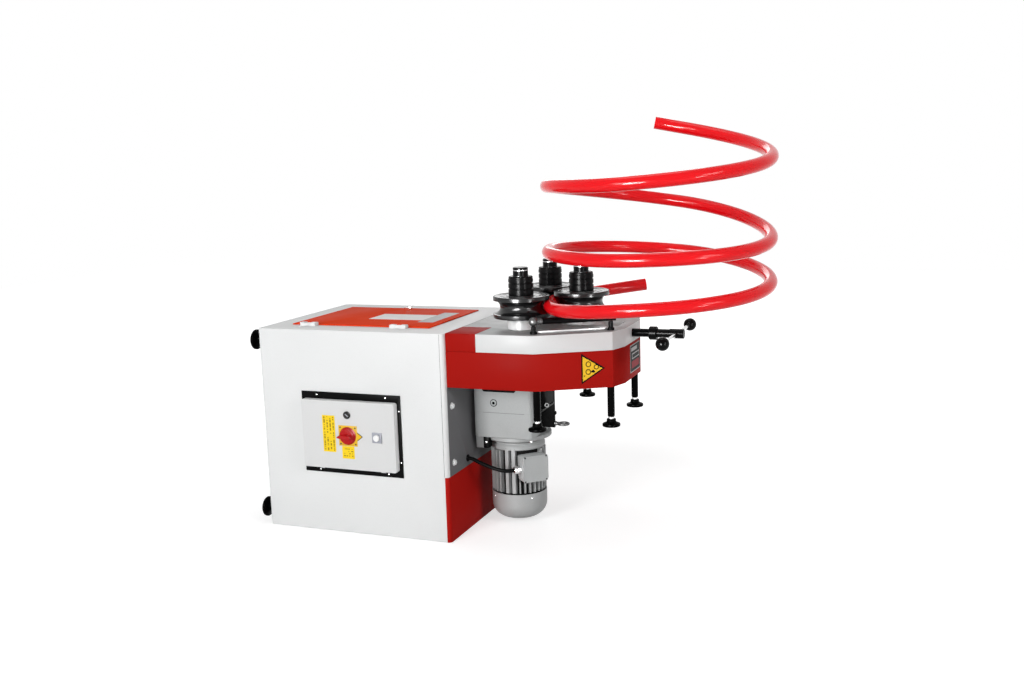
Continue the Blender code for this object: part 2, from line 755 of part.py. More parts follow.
def build_access_door(red, white, steel):
    """The lid of the tool space, its two hinges and its quarter-turn latch."""
    hinge = pivot("access_door_axis", (DOOR_X, DOOR_HINGE_Y, DOOR_HINGE_Z))
    low = CABINET_HEIGHT + GAP
    door = block(
        "access_door",
        (DOOR_X - DOOR_LENGTH / 2, -DOOR_DEPTH / 2, low),
        (DOOR_X + DOOR_LENGTH / 2, DOOR_DEPTH / 2, low + DOOR_T),
        red,
    )
    bores = []
    for name, sign in (("left", -1), ("right", 1)):
        x = DOOR_HINGE_X + sign * DOOR_HINGE_SPREAD
        across = (0, math.pi / 2, 0)
        half = DOOR_TONGUE_W / 2
        home = (x, DOOR_HINGE_Y, DOOR_HINGE_Z)
        fuse(door, lengthwise(f"door_tongue_{name}", door_tongue_section(), -half, half, place=home))
        bores.append(rod(
            f"door_bore_{name}", DOOR_PIN_R + RUNNING_GAP, -half - OVERRUN, half + OVERRUN,
            place=home, turn=across,
        ))
        build_hinge_fork(f"access_hinge_{name}", x, white)
    shaft_hole = rod(
        "latch_hole", LATCH_SHAFT_R + RUNNING_GAP, -OVERRUN, DOOR_T + OVERRUN, place=(LATCH_X, LATCH_Y, low),
    )
    cut(door, *bores, shaft_hole)
    hang(hinge, door)

    turn_axis = pivot("door_latch_axis", (LATCH_X, LATCH_Y, low))
    knob_low = DOOR_T + GAP
    latch = prism(
        "door_latch",
        rounded_rectangle(LATCH_LENGTH, LATCH_WIDTH, LATCH_WIDTH / 2 - MERGE),
        knob_low,
        knob_low + LATCH_RISE,
        steel,
        place=(LATCH_X, LATCH_Y, low),
    )
    cam_top = -CABINET_WALL - LATCH_CAM_DROP
    cam_low = cam_top - LATCH_CAM_T
    shaft = rod("latch_shaft", LATCH_SHAFT_R, cam_low, knob_low + SINK, place=(LATCH_X, LATCH_Y, low))
    cam = block(
        "latch_cam",
        (-LATCH_CAM_WIDTH / 2, -LATCH_CAM_WIDTH / 2, cam_low),
        (LATCH_CAM_LENGTH, LATCH_CAM_WIDTH / 2, cam_top),
        place=(LATCH_X, LATCH_Y, low),
    )
    fuse(latch, shaft, cam)
    hang(turn_axis, latch)
    hang(hinge, turn_axis)


def door_tongue_section():
    """One of the door's hinge tongues, seen along the hinge: a strip that ends in the barrel."""
    reach = DOOR_HINGE_OFFSET + OVERRUN
    radius = DOOR_BARREL_R
    top = -radius + DOOR_TONGUE_T
    start = math.asin(top / radius)
    return [(reach, -radius), (reach, top)] + arc((0, 0), radius, start, 3 * math.pi / 2, SMALL_STEPS)


def build_hinge_fork(name, x, look):
    """The fixed half of one access-door hinge: two ears, the bar between them and the pin."""
    half = DOOR_HINGE_W / 2
    slot = DOOR_TONGUE_W / 2 + DOOR_TONGUE_GAP
    radius = DOOR_BARREL_R
    front = -radius - DOOR_HINGE_FOOT
    home = (x, DOOR_HINGE_Y, DOOR_HINGE_Z)
    barrel = arc((0, 0), radius, -math.pi / 2, math.pi / 2, WIRE_STEPS)
    section = barrel + [(front, radius), (front, -radius)]
    fork = block(
        name,
        (-half + SINK, front + SINK, -radius + SINK),
        (half - SINK, -radius - DOOR_TONGUE_GAP, radius - SINK),
        look,
        place=home,
    )
    ears = [
        lengthwise(f"{name}_ear_{side}", section, low, high, place=home)
        for side, low, high in (("left", -half, -slot), ("right", slot, half))
    ]
    pin = rod(name + "_pin", DOOR_PIN_R, -half + SINK, half - SINK, place=home, turn=(0, math.pi / 2, 0))
    return fuse(fork, *ears, pin)


def build_enclosure(black, grey):
    """The black frame on the cabinet's front, the box inside it and the box's lid."""
    stand = (math.pi / 2, 0, 0)
    window = block(
        "frame_window",
        (-BOX_LENGTH / 2 - GAP, FRAME_FRONT_Y - OVERRUN, PANEL_Z - BOX_HEIGHT / 2 - GAP),
        (BOX_LENGTH / 2 + GAP, FRONT_Y + OVERRUN, PANEL_Z + BOX_HEIGHT / 2 + GAP),
    )
    frame = block(
        "enclosure_frame",
        (-FRAME_LENGTH / 2, FRAME_FRONT_Y, PANEL_Z - FRAME_HEIGHT / 2),
        (FRAME_LENGTH / 2, FRONT_Y - GAP, PANEL_Z + FRAME_HEIGHT / 2),
        black,
    )
    cut(frame, window)
    across = (0, math.pi / 2, 0)
    lid = build_lid(grey, stand)
    half, slot = LID_HINGE_W / 2, LID_TONGUE_W / 2
    bores = []
    for name, sign in (("left", -1), ("right", 1)):
        x = sign * LID_HINGE_SPREAD
        home = (x, LID_HINGE_Y, LID_HINGE_Z)
        for part, low, high in (("a", -half, -slot - GAP), ("b", slot + GAP, half)):
            fuse(frame, lengthwise(f"lid_ear_{name}_{part}", ear_section(), low, high, place=home))
        fuse(frame, rod(
            f"lid_pin_{name}", LID_PIN_R, -half + SINK, half - SINK, place=home, turn=across,
        ))
        fuse(lid, lengthwise(f"lid_tongue_{name}", tongue_section(), -slot, slot, place=home))
        bores.append(rod(
            f"lid_bore_{name}", LID_PIN_R + RUNNING_GAP, -slot - OVERRUN, slot + OVERRUN,
            place=home, turn=across,
        ))
    cut(lid, *bores, *lid_holes(stand))

    rim_y = LID_FRONT_Y + LID_WALL + BOX_RIM_GAP
    box = block(
        "enclosure_box",
        (-BOX_LENGTH / 2, rim_y, PANEL_Z - BOX_HEIGHT / 2),
        (BOX_LENGTH / 2, FRONT_Y + BOX_DEPTH, PANEL_Z + BOX_HEIGHT / 2),
        grey,
    )
    hollow = block(
        "enclosure_hollow",
        (-BOX_LENGTH / 2 + BOX_WALL, rim_y - OVERRUN, PANEL_Z - BOX_HEIGHT / 2 + BOX_WALL),
        (BOX_LENGTH / 2 - BOX_WALL, FRONT_Y + BOX_DEPTH - BOX_WALL, PANEL_Z + BOX_HEIGHT / 2 - BOX_WALL),
    )
    cut(box, hollow)
    axis = pivot("enclosure_door_axis", (0, LID_HINGE_Y, LID_HINGE_Z))
    hang(axis, lid)
    return axis


def ear_section():
    """One of the frame's hinge ears, seen along the hinge: a barrel with its foot in the frame."""
    reach = LID_BARREL_R + GAP + SINK
    barrel = arc((0, 0), LID_BARREL_R, math.pi / 2, 3 * math.pi / 2, WIRE_STEPS)
    return barrel + [(reach, -LID_BARREL_R), (reach, LID_BARREL_R)]


def tongue_section():
    """One of the lid's hinge tongues, seen along the hinge: a barrel that hangs from the lid."""
    rise = LID_BOTTOM + LID_WALL / 2 - LID_HINGE_Z
    barrel = arc((0, 0), LID_BARREL_R, math.pi, math.tau, WIRE_STEPS)
    return barrel + [(LID_BARREL_R, rise), (-LID_BARREL_R, rise)]


def build_lid(look, stand):
    """The enclosure's door: a shallow tray, open to the back."""
    depth = LID_BACK_Y - LID_FRONT_Y
    lid = prism(
        "enclosure_door",
        rounded_rectangle(LID_LENGTH, LID_HEIGHT, LID_CORNER_R),
        0,
        depth,
        look,
        place=(0, LID_BACK_Y, PANEL_Z),
        turn=stand,
    )
    inner = rounded_rectangle(LID_LENGTH - 2 * LID_WALL, LID_HEIGHT - 2 * LID_WALL, LID_CORNER_R - LID_WALL)
    home = (0, LID_BACK_Y, PANEL_Z)
    hollow = prism("lid_hollow", inner, -OVERRUN, depth - LID_WALL, place=home, turn=stand)
    return cut(lid, hollow)


def lid_holes(stand):
    """Holes for the switch's shaft, the lock and the button's neck."""
    holes = []
    for name, radius, x, z in (
        ("switch_hole", SWITCH_SHAFT_R, 0, 0),
        ("lock_hole", LOCK_SHAFT_R, 0, LOCK_Z),
        ("button_hole", BEZEL_NECK_R, BUTTON_X, 0),
    ):
        holes.append(rod(
            name, radius + RUNNING_GAP, -LID_WALL - OVERRUN, OVERRUN,
            place=(x, LID_FRONT_Y, PANEL_Z + z), turn=stand,
        ))
    return holes


def build_controls(lid_axis, yellow, red, black, grey, white):
    """The main switch on its plate, the lock and the start button. Local +Z points out of the lid."""
    stand = (math.pi / 2, 0, 0)
    home = (0, LID_FRONT_Y, PANEL_Z)
    half = SWITCH_PLATE / 2
    plate = block(
        "switch_plate", (-half, -half, GAP), (half, half, GAP + SWITCH_PLATE_T), yellow,
        place=home, turn=stand,
    )
    cut(plate, rod(
        "plate_hole", SWITCH_SHAFT_R + RUNNING_GAP, -OVERRUN, OVERRUN, place=home, turn=stand,
    ))
    hub_low = SWITCH_PLATE_T + 2 * GAP
    hub_top = hub_low + SWITCH_HUB_T
    knob = rod(
        "main_switch_knob", SWITCH_HUB_R, hub_low, hub_top, red, place=home, turn=stand, steps=ROUND_STEPS,
    )
    grip = block(
        "switch_grip",
        (-SWITCH_GRIP_LENGTH / 2, -SWITCH_GRIP_W / 2, hub_low + SINK),
        (SWITCH_GRIP_LENGTH / 2, SWITCH_GRIP_W / 2, hub_low + SWITCH_GRIP_RISE),
        place=home, turn=stand,
    )
    shaft = rod("switch_shaft", SWITCH_SHAFT_R, -SWITCH_SHAFT_DEPTH, hub_low + SINK, place=home, turn=stand)
    fuse(knob, grip, shaft)

    lock_home = (0, LID_FRONT_Y, PANEL_Z + LOCK_Z)
    cam_low = -LID_WALL - LOCK_CAM_DEPTH
    profile = [
        (0, LOCK_RISE),
        (LOCK_R, LOCK_RISE),
        (LOCK_R, GAP),
        (LOCK_SHAFT_R, GAP),
        (LOCK_SHAFT_R, cam_low),
        (0, cam_low),
    ]
    lock = turned("door_lock", profile, black, place=lock_home, turn=stand, steps=SMALL_STEPS)
    lock_cam = block(
        "lock_cam",
        (-SINK, -LOCK_CAM_W / 2, cam_low + SINK),
        (LOCK_CAM_LENGTH, LOCK_CAM_W / 2, cam_low + SINK + LOCK_CAM_T),
        place=lock_home, turn=stand,
    )
    fuse(lock, lock_cam)

    button_home = (BUTTON_X, LID_FRONT_Y, PANEL_Z)
    side = BEZEL_SIDE / 2
    bezel = block(
        "button_bezel", (-side, -side, GAP), (side, side, BEZEL_RISE), grey, place=button_home, turn=stand,
    )
    neck_low = -LID_WALL - BEZEL_DEPTH
    neck = rod("bezel_neck", BEZEL_NECK_R, neck_low, GAP + SINK, place=button_home, turn=stand)
    fuse(bezel, neck)
    floor = -LID_WALL
    cut(
        bezel,
        rod(
            "button_well", BUTTON_R + RUNNING_GAP, floor, BEZEL_RISE + OVERRUN,
            place=button_home, turn=stand,
        ),
        rod(
            "stem_hole", BUTTON_STEM_R + RUNNING_GAP, -LID_WALL - BEZEL_DEPTH - OVERRUN, floor + OVERRUN,
            place=button_home, turn=stand,
        ),
    )
    cap_low = BEZEL_RISE / 2
    profile = [
        (0, BUTTON_RISE),
        (BUTTON_R - SINK, BUTTON_RISE),
        (BUTTON_R, BUTTON_RISE - SINK),
        (BUTTON_R, cap_low),
        (BUTTON_STEM_R, cap_low),
        (BUTTON_STEM_R, -BUTTON_STEM_DEPTH),
        (0, -BUTTON_STEM_DEPTH),
    ]
    button = turned("start_button", profile, white, place=button_home, turn=stand, steps=SMALL_STEPS)

    for name, piece, place in (
        ("main_switch_axis", knob, home),
        ("door_lock_axis", lock, lock_home),
        ("start_button_axis", button, button_home),
    ):
        axis = pivot(name, place)
        hang(axis, piece)
        hang(lid_axis, axis)
    hang(lid_axis, plate, bezel)


def build_base_feet(look):
    """The four levelling feet on the left side. Local +Z points out of the cabinet."""
    outward = (0, -math.pi / 2, 0)
    pad_low = BASE_FOOT_REACH - BASE_FOOT_PAD_T
    hub_low = pad_low - BASE_FOOT_HUB_T
    profile = [
        (0, BASE_FOOT_REACH),
        (BASE_FOOT_R, BASE_FOOT_REACH),
        (BASE_FOOT_R, BASE_FOOT_REACH - BASE_FOOT_PAD_T / 2),
        (BASE_FOOT_HUB_R, pad_low),
        (BASE_FOOT_HUB_R, hub_low),
        (BASE_FOOT_ROD_R, hub_low),
        (BASE_FOOT_ROD_R, -BASE_FOOT_ROD_DEPTH),
        (0, -BASE_FOOT_ROD_DEPTH),
    ]
    for name, y, z in base_foot_places("base_foot"):
        turned(name, profile, look, place=(-SIDE_X, y, z), turn=outward)


def build_head(red, grey, steel):
    """The head's skirt, corner covers, top plate and floor plate."""
    outer = head_outline()
    inner = inset(outer, SKIRT_WALL)
    path, inner_path = outer, [(HEAD_X, inner[0][1])] + inner[1:-1] + [(HEAD_X, inner[-1][1])]
    prism("head_skirt", path + list(reversed(inner_path)), HEAD_BOTTOM, PLATE_BOTTOM - GAP, red)

    notch_x = HEAD_X + CORNER_COVER_LENGTH
    notch_y = HEAD_HALF_WIDTH - CORNER_COVER_WIDTH
    for name, sign in (("front_corner_cover", -1), ("back_corner_cover", 1)):
        low_y, high_y = sorted((sign * HEAD_HALF_WIDTH, sign * notch_y))
        cover = block(name, (HEAD_X, low_y, PLATE_BOTTOM), (notch_x, high_y, CABINET_HEIGHT), red)
        wall = CORNER_COVER_WALL
        cut(cover, block(
            name + "_hollow",
            (HEAD_X + wall, low_y + wall, PLATE_BOTTOM - OVERRUN),
            (notch_x - wall, high_y - wall, CABINET_HEIGHT - wall),
        ))

    plate_front = [
        (HEAD_X, -notch_y + GAP),
        (notch_x + GAP, -notch_y + GAP),
        (notch_x + GAP, -HEAD_HALF_WIDTH),
        (HEAD_BEND_X, -HEAD_HALF_WIDTH),
        (HEAD_CORNER_X, -HEAD_CORNER_Y),
        (HEAD_END_X, -HEAD_END_Y),
    ]
    plate = prism("top_plate", mirrored(plate_front), PLATE_BOTTOM, CABINET_HEIGHT, grey)
    pocket_outline = inset(head_outline(notch_x + GAP), PLATE_RIM)
    pocket = prism("plate_pocket", pocket_outline, PLATE_BOTTOM - OVERRUN, SKIN_BOTTOM)
    end_wall = HEAD_END_X - PLATE_END_RIM
    keep = block(
        "end_rim",
        (end_wall, -HEAD_HALF_WIDTH, PLATE_BOTTOM - 2 * OVERRUN),
        (HEAD_END_X + OVERRUN, HEAD_HALF_WIDTH, CABINET_HEIGHT + OVERRUN),
    )
    cut(pocket, keep)
    slot = block(
        "carriage_slot",
        (PRESS_X - CARRIAGE_BACK - RUNNING_GAP, -CARRIAGE_HALF_WIDTH - RUNNING_GAP, PLATE_BOTTOM - OVERRUN),
        (end_wall, CARRIAGE_HALF_WIDTH + RUNNING_GAP, CABINET_HEIGHT + OVERRUN),
    )
    screw_hole = rod(
        "screw_hole", SCREW_R + RUNNING_GAP, end_wall - OVERRUN, HEAD_END_X + OVERRUN,
        place=(0, 0, SCREW_Z), turn=(0, math.pi / 2, 0), steps=ROUND_STEPS,
    )
    holes = [
        rod(
            f"boss_hole_{name}", BOSS_R + GAP, SKIN_BOTTOM - OVERRUN, CABINET_HEIGHT + OVERRUN,
            place=(ROLLER_X, y, 0), steps=FINE_STEPS,
        )
        for name, y in (("front", -ROLLER_SPREAD), ("back", ROLLER_SPREAD))
    ]
    cut(plate, pocket, slot, screw_hole, *holes)

    floor_outline = inset(head_outline(), SKIRT_WALL + GAP)
    floor = prism("bottom_plate", floor_outline, HEAD_BOTTOM, FLOOR_TOP, steel)
    foot_holes = [
        rod(name, HEAD_FOOT_ROD_R + RUNNING_GAP, HEAD_BOTTOM - OVERRUN, FLOOR_TOP + OVERRUN, place=(x, y, 0))
        for name, x, y in head_foot_places("floor_hole")
    ]
    pinion_hole = rod(
        "pinion_hole", PINION_HOLE_R, HEAD_BOTTOM - OVERRUN, FLOOR_TOP + OVERRUN, place=(PINION_X, 0, 0),
    )
    cut(floor, pinion_hole, *foot_holes)


def roller_profile():
    """Half a roller, cut down its axis: rounded rims, a half-round groove and a bore."""
    edge = ROLLER_EDGE_R
    groove = RING_TUBE_R + GROOVE_GAP
    middle = ROLLER_HEIGHT / 2
    lean = math.acos((ROLLER_R - GROOVE_R) / groove)
    bore = SHAFT_R + GAP
    points = [(bore, 0), (ROLLER_R - edge, 0), (ROLLER_R, edge)]
    for step in range(GROOVE_STEPS + 1):
        angle = -lean - (math.tau - 2 * lean) * step / GROOVE_STEPS
        points.append((GROOVE_R + groove * math.cos(angle), middle + groove * math.sin(angle)))
    points += [
        (ROLLER_R, ROLLER_HEIGHT - edge),
        (ROLLER_R - edge, ROLLER_HEIGHT),
        (bore, ROLLER_HEIGHT),
    ]
    return list(reversed(points))


def nut_profile():
    """Half of the spacer rings and the nut above a roller, with a groove at each joint."""
    bore = SHAFT_R + GAP
    points = [(bore, 0), (NUT_R - STUB_CHAMFER, 0), (NUT_R, STUB_CHAMFER)]
    for share in NUT_RING_SHARES:
        middle = NUT_HEIGHT * share
        points += [
            (NUT_R, middle - NUT_GROOVE_W / 2),
            (NUT_R - NUT_GROOVE_DEPTH, middle - NUT_GROOVE_W / 2),
            (NUT_R - NUT_GROOVE_DEPTH, middle + NUT_GROOVE_W / 2),
            (NUT_R, middle + NUT_GROOVE_W / 2),
        ]
    points += [(NUT_R, NUT_HEIGHT - STUB_CHAMFER), (NUT_R - STUB_CHAMFER, NUT_HEIGHT), (bore, NUT_HEIGHT)]
    return list(reversed(points))


def shaft_profile(low):
    """Half a roller shaft, from its lower end to the stub above the nut."""
    return [
        (0, STUB_TOP),
        (SHAFT_R - STUB_CHAMFER, STUB_TOP),
        (SHAFT_R, STUB_TOP - STUB_CHAMFER),
        (SHAFT_R, SHOULDER_LOW + SHOULDER_T),
        (SHOULDER_R, SHOULDER_LOW + SHOULDER_T),
        (SHOULDER_R, SHOULDER_LOW),
        (SHAFT_R, SHOULDER_LOW),
        (SHAFT_R, low),
        (0, low),
    ]


def housing_profile():
    """Half a fixed roller's bearing housing: boss, flange under the plate, and sleeve."""
    bore = SHAFT_R + RUNNING_GAP
    flange_top = SKIN_BOTTOM - GAP
    flange_low = flange_top - HOUSING_FLANGE_T
    return [
        (bore, BOSS_TOP),
        (BOSS_R, BOSS_TOP),
        (BOSS_R, flange_top),
        (HOUSING_FLANGE_R, flange_top),
        (HOUSING_FLANGE_R, flange_low),
        (BOSS_R, flange_low),
        (BOSS_R, CABINET_HEIGHT - HOUSING_DROP),
        (bore, CABINET_HEIGHT - HOUSING_DROP),
    ]


def gear_outline(teeth, first_tooth):
    """A gear's outline with straight-sided teeth; first_tooth is the angle of one tooth's middle."""
    pitch_r = GEAR_MODULE * teeth / 2
    root, tip = pitch_r - ROOT_DEPTH_SHARE * GEAR_MODULE, pitch_r + GEAR_MODULE
    pitch = math.tau / teeth
    points = []
    for tooth in range(teeth):
        middle = first_tooth + tooth * pitch
        for radius, share in (
            (root, -TOOTH_ROOT_SHARE),
            (tip, -TOOTH_TIP_SHARE),
            (tip, TOOTH_TIP_SHARE),
            (root, TOOTH_ROOT_SHARE),
        ):
            angle = middle + share * pitch
            points.append((radius * math.cos(angle), radius * math.sin(angle)))
    return points


def build_drive(steel, dark):
    """The pinion and the two geared shafts of the fixed rollers, in mesh at rest."""
    pinion_pitch = math.tau / PINION_TEETH
    gear_pitch = math.tau / GEAR_TEETH
    toward_front = math.atan2(-ROLLER_SPREAD, ROLLER_X - PINION_X)
    pinion_home = (PINION_X, 0, 0)
    pinion = prism(
        "drive_pinion", gear_outline(PINION_TEETH, toward_front), GEAR_LOW, GEAR_TOP, dark,
        place=pinion_home,
    )
    fuse(pinion, rod(
        "pinion_shaft", PINION_SHAFT_R, GEARBOX_TOP - PINION_SHAFT_DEPTH, GEAR_LOW + SINK,
        place=pinion_home, steps=ROUND_STEPS,
    ))
    hang(pivot("drive_pinion_axis", pinion_home), pinion)

    axes = {}
    for name, y in (("front", -ROLLER_SPREAD), ("back", ROLLER_SPREAD)):
        home = (ROLLER_X, y, 0)
        toward = math.atan2(y, ROLLER_X - PINION_X)
        steps_between = (toward - toward_front) / pinion_pitch
        shift = (round(steps_between) - steps_between) * pinion_pitch
        gap_angle = toward + math.pi - shift * PINION_TEETH / GEAR_TEETH
        shaft = turned(f"geared_shaft_{name}", shaft_profile(FLOOR_TOP + GAP), steel, place=home)
        gear = prism(
            f"gear_{name}", gear_outline(GEAR_TEETH, gap_angle + gear_pitch / 2), GEAR_LOW, GEAR_TOP,
            place=home,
        )
        fuse(shaft, gear)
        axes[name] = pivot(f"roller_{name}_axis", home)
        hang(axes[name], shaft)
    return axes


def build_rollers(axes, carriage_axis, black, grey, steel):
    """Three grooved rollers with their nuts, two bearing housings and the pressing shaft."""
    for name, axis in axes.items():
        home = axis.location
        turned(f"bearing_housing_{name}", housing_profile(), grey, place=home, steps=FINE_STEPS)
        dress_axis(axis, f"roller_{name}", f"roller_nut_{name}", black)
    press_axis = pivot("pressing_roller_axis", (PRESS_X, 0, 0))
    shaft_low = CABINET_HEIGHT - CARRIAGE_DROP - SHOULDER_T
    shaft = turned("pressing_shaft", shaft_profile(shaft_low), steel, place=(PRESS_X, 0, 0))
    hang(press_axis, shaft)
    dress_axis(press_axis, "pressing_roller", "pressing_roller_nut", black)
    hang(carriage_axis, press_axis)


def dress_axis(axis, roller_name, nut_name, look):
    """One roller and the nut above it, on an axis that stands at the floor."""
    x, y, _ = world_place(axis)
    roller = turned(roller_name, roller_profile(), look, place=(x, y, ROLLER_LOW), steps=FINE_STEPS)
    nut = turned(nut_name, nut_profile(), look, place=(x, y, NUT_LOW))
    hang(axis, roller, nut)


def build_carriage(grey):
    """The slide in the plate's slot, with a boss round the pressing shaft and keepers under the plate."""
    back, front = PRESS_X - CARRIAGE_BACK, PRESS_X + CARRIAGE_FRONT
    low = CABINET_HEIGHT - CARRIAGE_DROP
    keeper_top = SKIN_BOTTOM - RUNNING_GAP
    keeper_low = keeper_top - KEEPER_T
    right_half = [
        (CARRIAGE_HALF_WIDTH, low),
        (CARRIAGE_HALF_WIDTH, keeper_low),
        (KEEPER_HALF_WIDTH, keeper_low),
        (KEEPER_HALF_WIDTH, keeper_top),
        (CARRIAGE_HALF_WIDTH, keeper_top),
        (CARRIAGE_HALF_WIDTH, CARRIAGE_TOP),
    ]
    section = right_half + [(-y, z) for y, z in reversed(right_half)]
    slide = lengthwise("carriage", section, back, front, grey)
    seat = rod(
        "screw_seat", SCREW_NECK_R + RUNNING_GAP, front - SCREW_NECK_LENGTH - GAP, front + OVERRUN,
        place=(0, 0, SCREW_Z), turn=(0, math.pi / 2, 0),
    )
    boss = rod(
        "carriage_boss", BOSS_R, CARRIAGE_TOP - OVERRUN, BOSS_TOP, place=(PRESS_X, 0, 0), steps=FINE_STEPS,
    )
    bore = rod(
        "carriage_bore", SHAFT_R + RUNNING_GAP, low - OVERRUN, BOSS_TOP + OVERRUN,
        place=(PRESS_X, 0, 0), steps=ROUND_STEPS,
    )
    cut(slide, seat)
    fuse(slide, boss)
    cut(slide, bore)
    axis = pivot("carriage_axis", (PRESS_X, 0, 0))
    hang(axis, slide)
    return axis


def build_screw(carriage_axis, black, chrome):
    """The adjusting screw along +X, its cross bar and the two ball knobs."""
    front = PRESS_X + CARRIAGE_FRONT
    along = (0, math.pi / 2, 0)
    start = front + GAP
    hub_end = HUB_X + HUB_LENGTH
    profile = [
        (0, hub_end),
        (HUB_R, hub_end),
        (HUB_R, HUB_X),
        (SCREW_R, HUB_X),
        (SCREW_R, SCREW_COLLAR_X + SCREW_COLLAR_W),
        (SCREW_COLLAR_R, SCREW_COLLAR_X + SCREW_COLLAR_W),
        (SCREW_COLLAR_R, SCREW_COLLAR_X),
        (SCREW_R, SCREW_COLLAR_X),
        (SCREW_R, start),
        (SCREW_NECK_R, start),
        (SCREW_NECK_R, start - SCREW_NECK_LENGTH),
        (0, start - SCREW_NECK_LENGTH),
    ]
    home = (0, 0, SCREW_Z)
    screw = turned("spindle", profile, black, place=home, turn=along)
    sideways = (-math.pi / 2, 0, 0)
    bar_home = (BAR_X, 0, SCREW_Z)
    cut(screw, rod(
        "bar_hole", BAR_R + GAP, -HUB_R - OVERRUN, HUB_R + OVERRUN, place=bar_home, turn=sideways,
    ))
    bar_end = BAR_HALF_LENGTH - KNOB_R + KNOB_SEAT
    bar = rod("tee_bar", BAR_R, -bar_end, bar_end, chrome, place=bar_home, turn=sideways)
    knobs = []
    for name, sign in (("ball_knob_front", -1), ("ball_knob_back", 1)):
        place = (BAR_X, sign * BAR_HALF_LENGTH, SCREW_Z)
        facing = (sign * math.pi / 2, 0, 0)
        mouth = math.asin((BAR_R + GAP) / KNOB_R)
        ball = [
            (KNOB_R * math.sin(angle), KNOB_R * math.cos(angle))
            for angle in (mouth + (math.pi - mouth) * step / WIRE_STEPS for step in range(WIRE_STEPS + 1))
        ]
        depth = KNOB_R - KNOB_SEAT - GAP
        ball = [(0, depth), (BAR_R + GAP, depth)] + ball[:-1] + [(0, -KNOB_R)]
        knobs.append(turned(name, ball, black, place=place, turn=facing, steps=SMALL_STEPS))
    axis = pivot("spindle_axis", (PRESS_X, 0, SCREW_Z))
    hang(axis, screw, bar, *knobs)
    hang(carriage_axis, axis)


def build_gearmotor(light, silver, black):
    """Gear case, finned motor, fan cowl with its fan, terminal box, gland and the motor's lead."""
    case = prism(
        "gearbox_housing",
        rounded_rectangle(GEARBOX_LENGTH, GEARBOX_DEPTH, GEARBOX_CORNER_R),
        GEARBOX_BOTTOM,
        GEARBOX_TOP,
        light,
        place=(GEARBOX_X, 0, 0),
    )
    foot_x = GEARBOX_X - GEARBOX_LENGTH / 2
    foot_half = GEARBOX_DEPTH / 2 - GEARBOX_CORNER_R
    foot = block(
        "gearbox_foot",
        (foot_x, -foot_half, GEARBOX_BOTTOM - GEARBOX_FOOT_DROP),
        (foot_x + GEARBOX_FOOT_LENGTH, foot_half, GEARBOX_BOTTOM + OVERRUN),
    )
    fuse(case, foot)
    cut(
        case,
        rod(
            "output_bore", PINION_SHAFT_R + RUNNING_GAP, GEARBOX_TOP - PINION_SHAFT_DEPTH - GAP,
            GEARBOX_TOP + OVERRUN, place=(PINION_X, 0, 0), steps=ROUND_STEPS,
        ),
        rod(
            "flange_relief", MOTOR_FLANGE_R + GAP, GEARBOX_BOTTOM - GEARBOX_FOOT_DROP - OVERRUN,
            GEARBOX_BOTTOM, place=(MOTOR_X, 0, 0), steps=FINE_STEPS,
        ),
    )

    neck_low = MOTOR_TOP - MOTOR_FLANGE_T - MOTOR_NECK_T
    home = (MOTOR_X, 0, 0)
    motor = prism("motor_body", fin_outline(), MOTOR_BOTTOM, neck_low, silver, place=home)
    flange = [
        (0, MOTOR_TOP),
        (MOTOR_FLANGE_R, MOTOR_TOP),
        (MOTOR_FLANGE_R, MOTOR_TOP - MOTOR_FLANGE_T),
        (MOTOR_NECK_R, MOTOR_TOP - MOTOR_FLANGE_T),
        (MOTOR_NECK_R, neck_low - SINK),
        (0, neck_low - SINK),
    ]
    upper = turned("motor_flange", flange, place=home, steps=FINE_STEPS)
    bell_low = MOTOR_BOTTOM - MOTOR_BELL_T
    bell = rod("end_bell", MOTOR_BELL_R, bell_low, MOTOR_BOTTOM + SINK, place=home, steps=FINE_STEPS)
    half = TERMINAL_PAD_SIDE / 2
    pad = block(
        "terminal_pad",
        (MOTOR_CORE_R - OVERRUN, -half, TERMINAL_Z - half),
        (TERMINAL_PAD_REACH, half, TERMINAL_Z + half),
        place=home, turn=(0, 0, TERMINAL_TURN),
    )
    fuse(motor, upper, bell, pad)
    fan_top = bell_low - FAN_DROP
    shaft_top = fan_top + FAN_SHAFT_LENGTH
    cut(motor, rod("rotor_bore", FAN_SHAFT_R + RUNNING_GAP, bell_low - OVERRUN, shaft_top + GAP, place=home))

    build_cowl(silver, home)
    build_fan(black, home, fan_top, shaft_top)
    build_terminal_box(light, silver, home)
    seat = gland_point(GLAND_LENGTH - GLAND_BORE_DEPTH + GAP)
    mouth = gland_point(GLAND_LENGTH + OVERRUN)
    straight = [(x, CABLE_WALL_Y, CABLE_WALL_Z) for x in (SIDE_X + OVERRUN, SIDE_X - CABLE_INSIDE)]
    points = [seat, mouth, *CABLE_ROUTE, *straight]
    swept("motor_cable", points, CABLE_R, ROUND_RESOLUTION, black)


def fin_outline():
    """The motor's cooling fins, seen along its axis."""
    points = []
    inner, outer = MOTOR_CORE_R - SINK, MOTOR_FIN_R
    lean_in = math.asin(MOTOR_FIN_T / (2 * inner))
    lean_out = math.asin(MOTOR_FIN_T / (2 * outer))
    for fin in range(MOTOR_FINS):
        middle = math.tau * fin / MOTOR_FINS
        for radius, lean in ((inner, -lean_in), (outer, -lean_out), (outer, lean_out), (inner, lean_in)):
            points.append((radius * math.cos(middle + lean), radius * math.sin(middle + lean)))
    return points


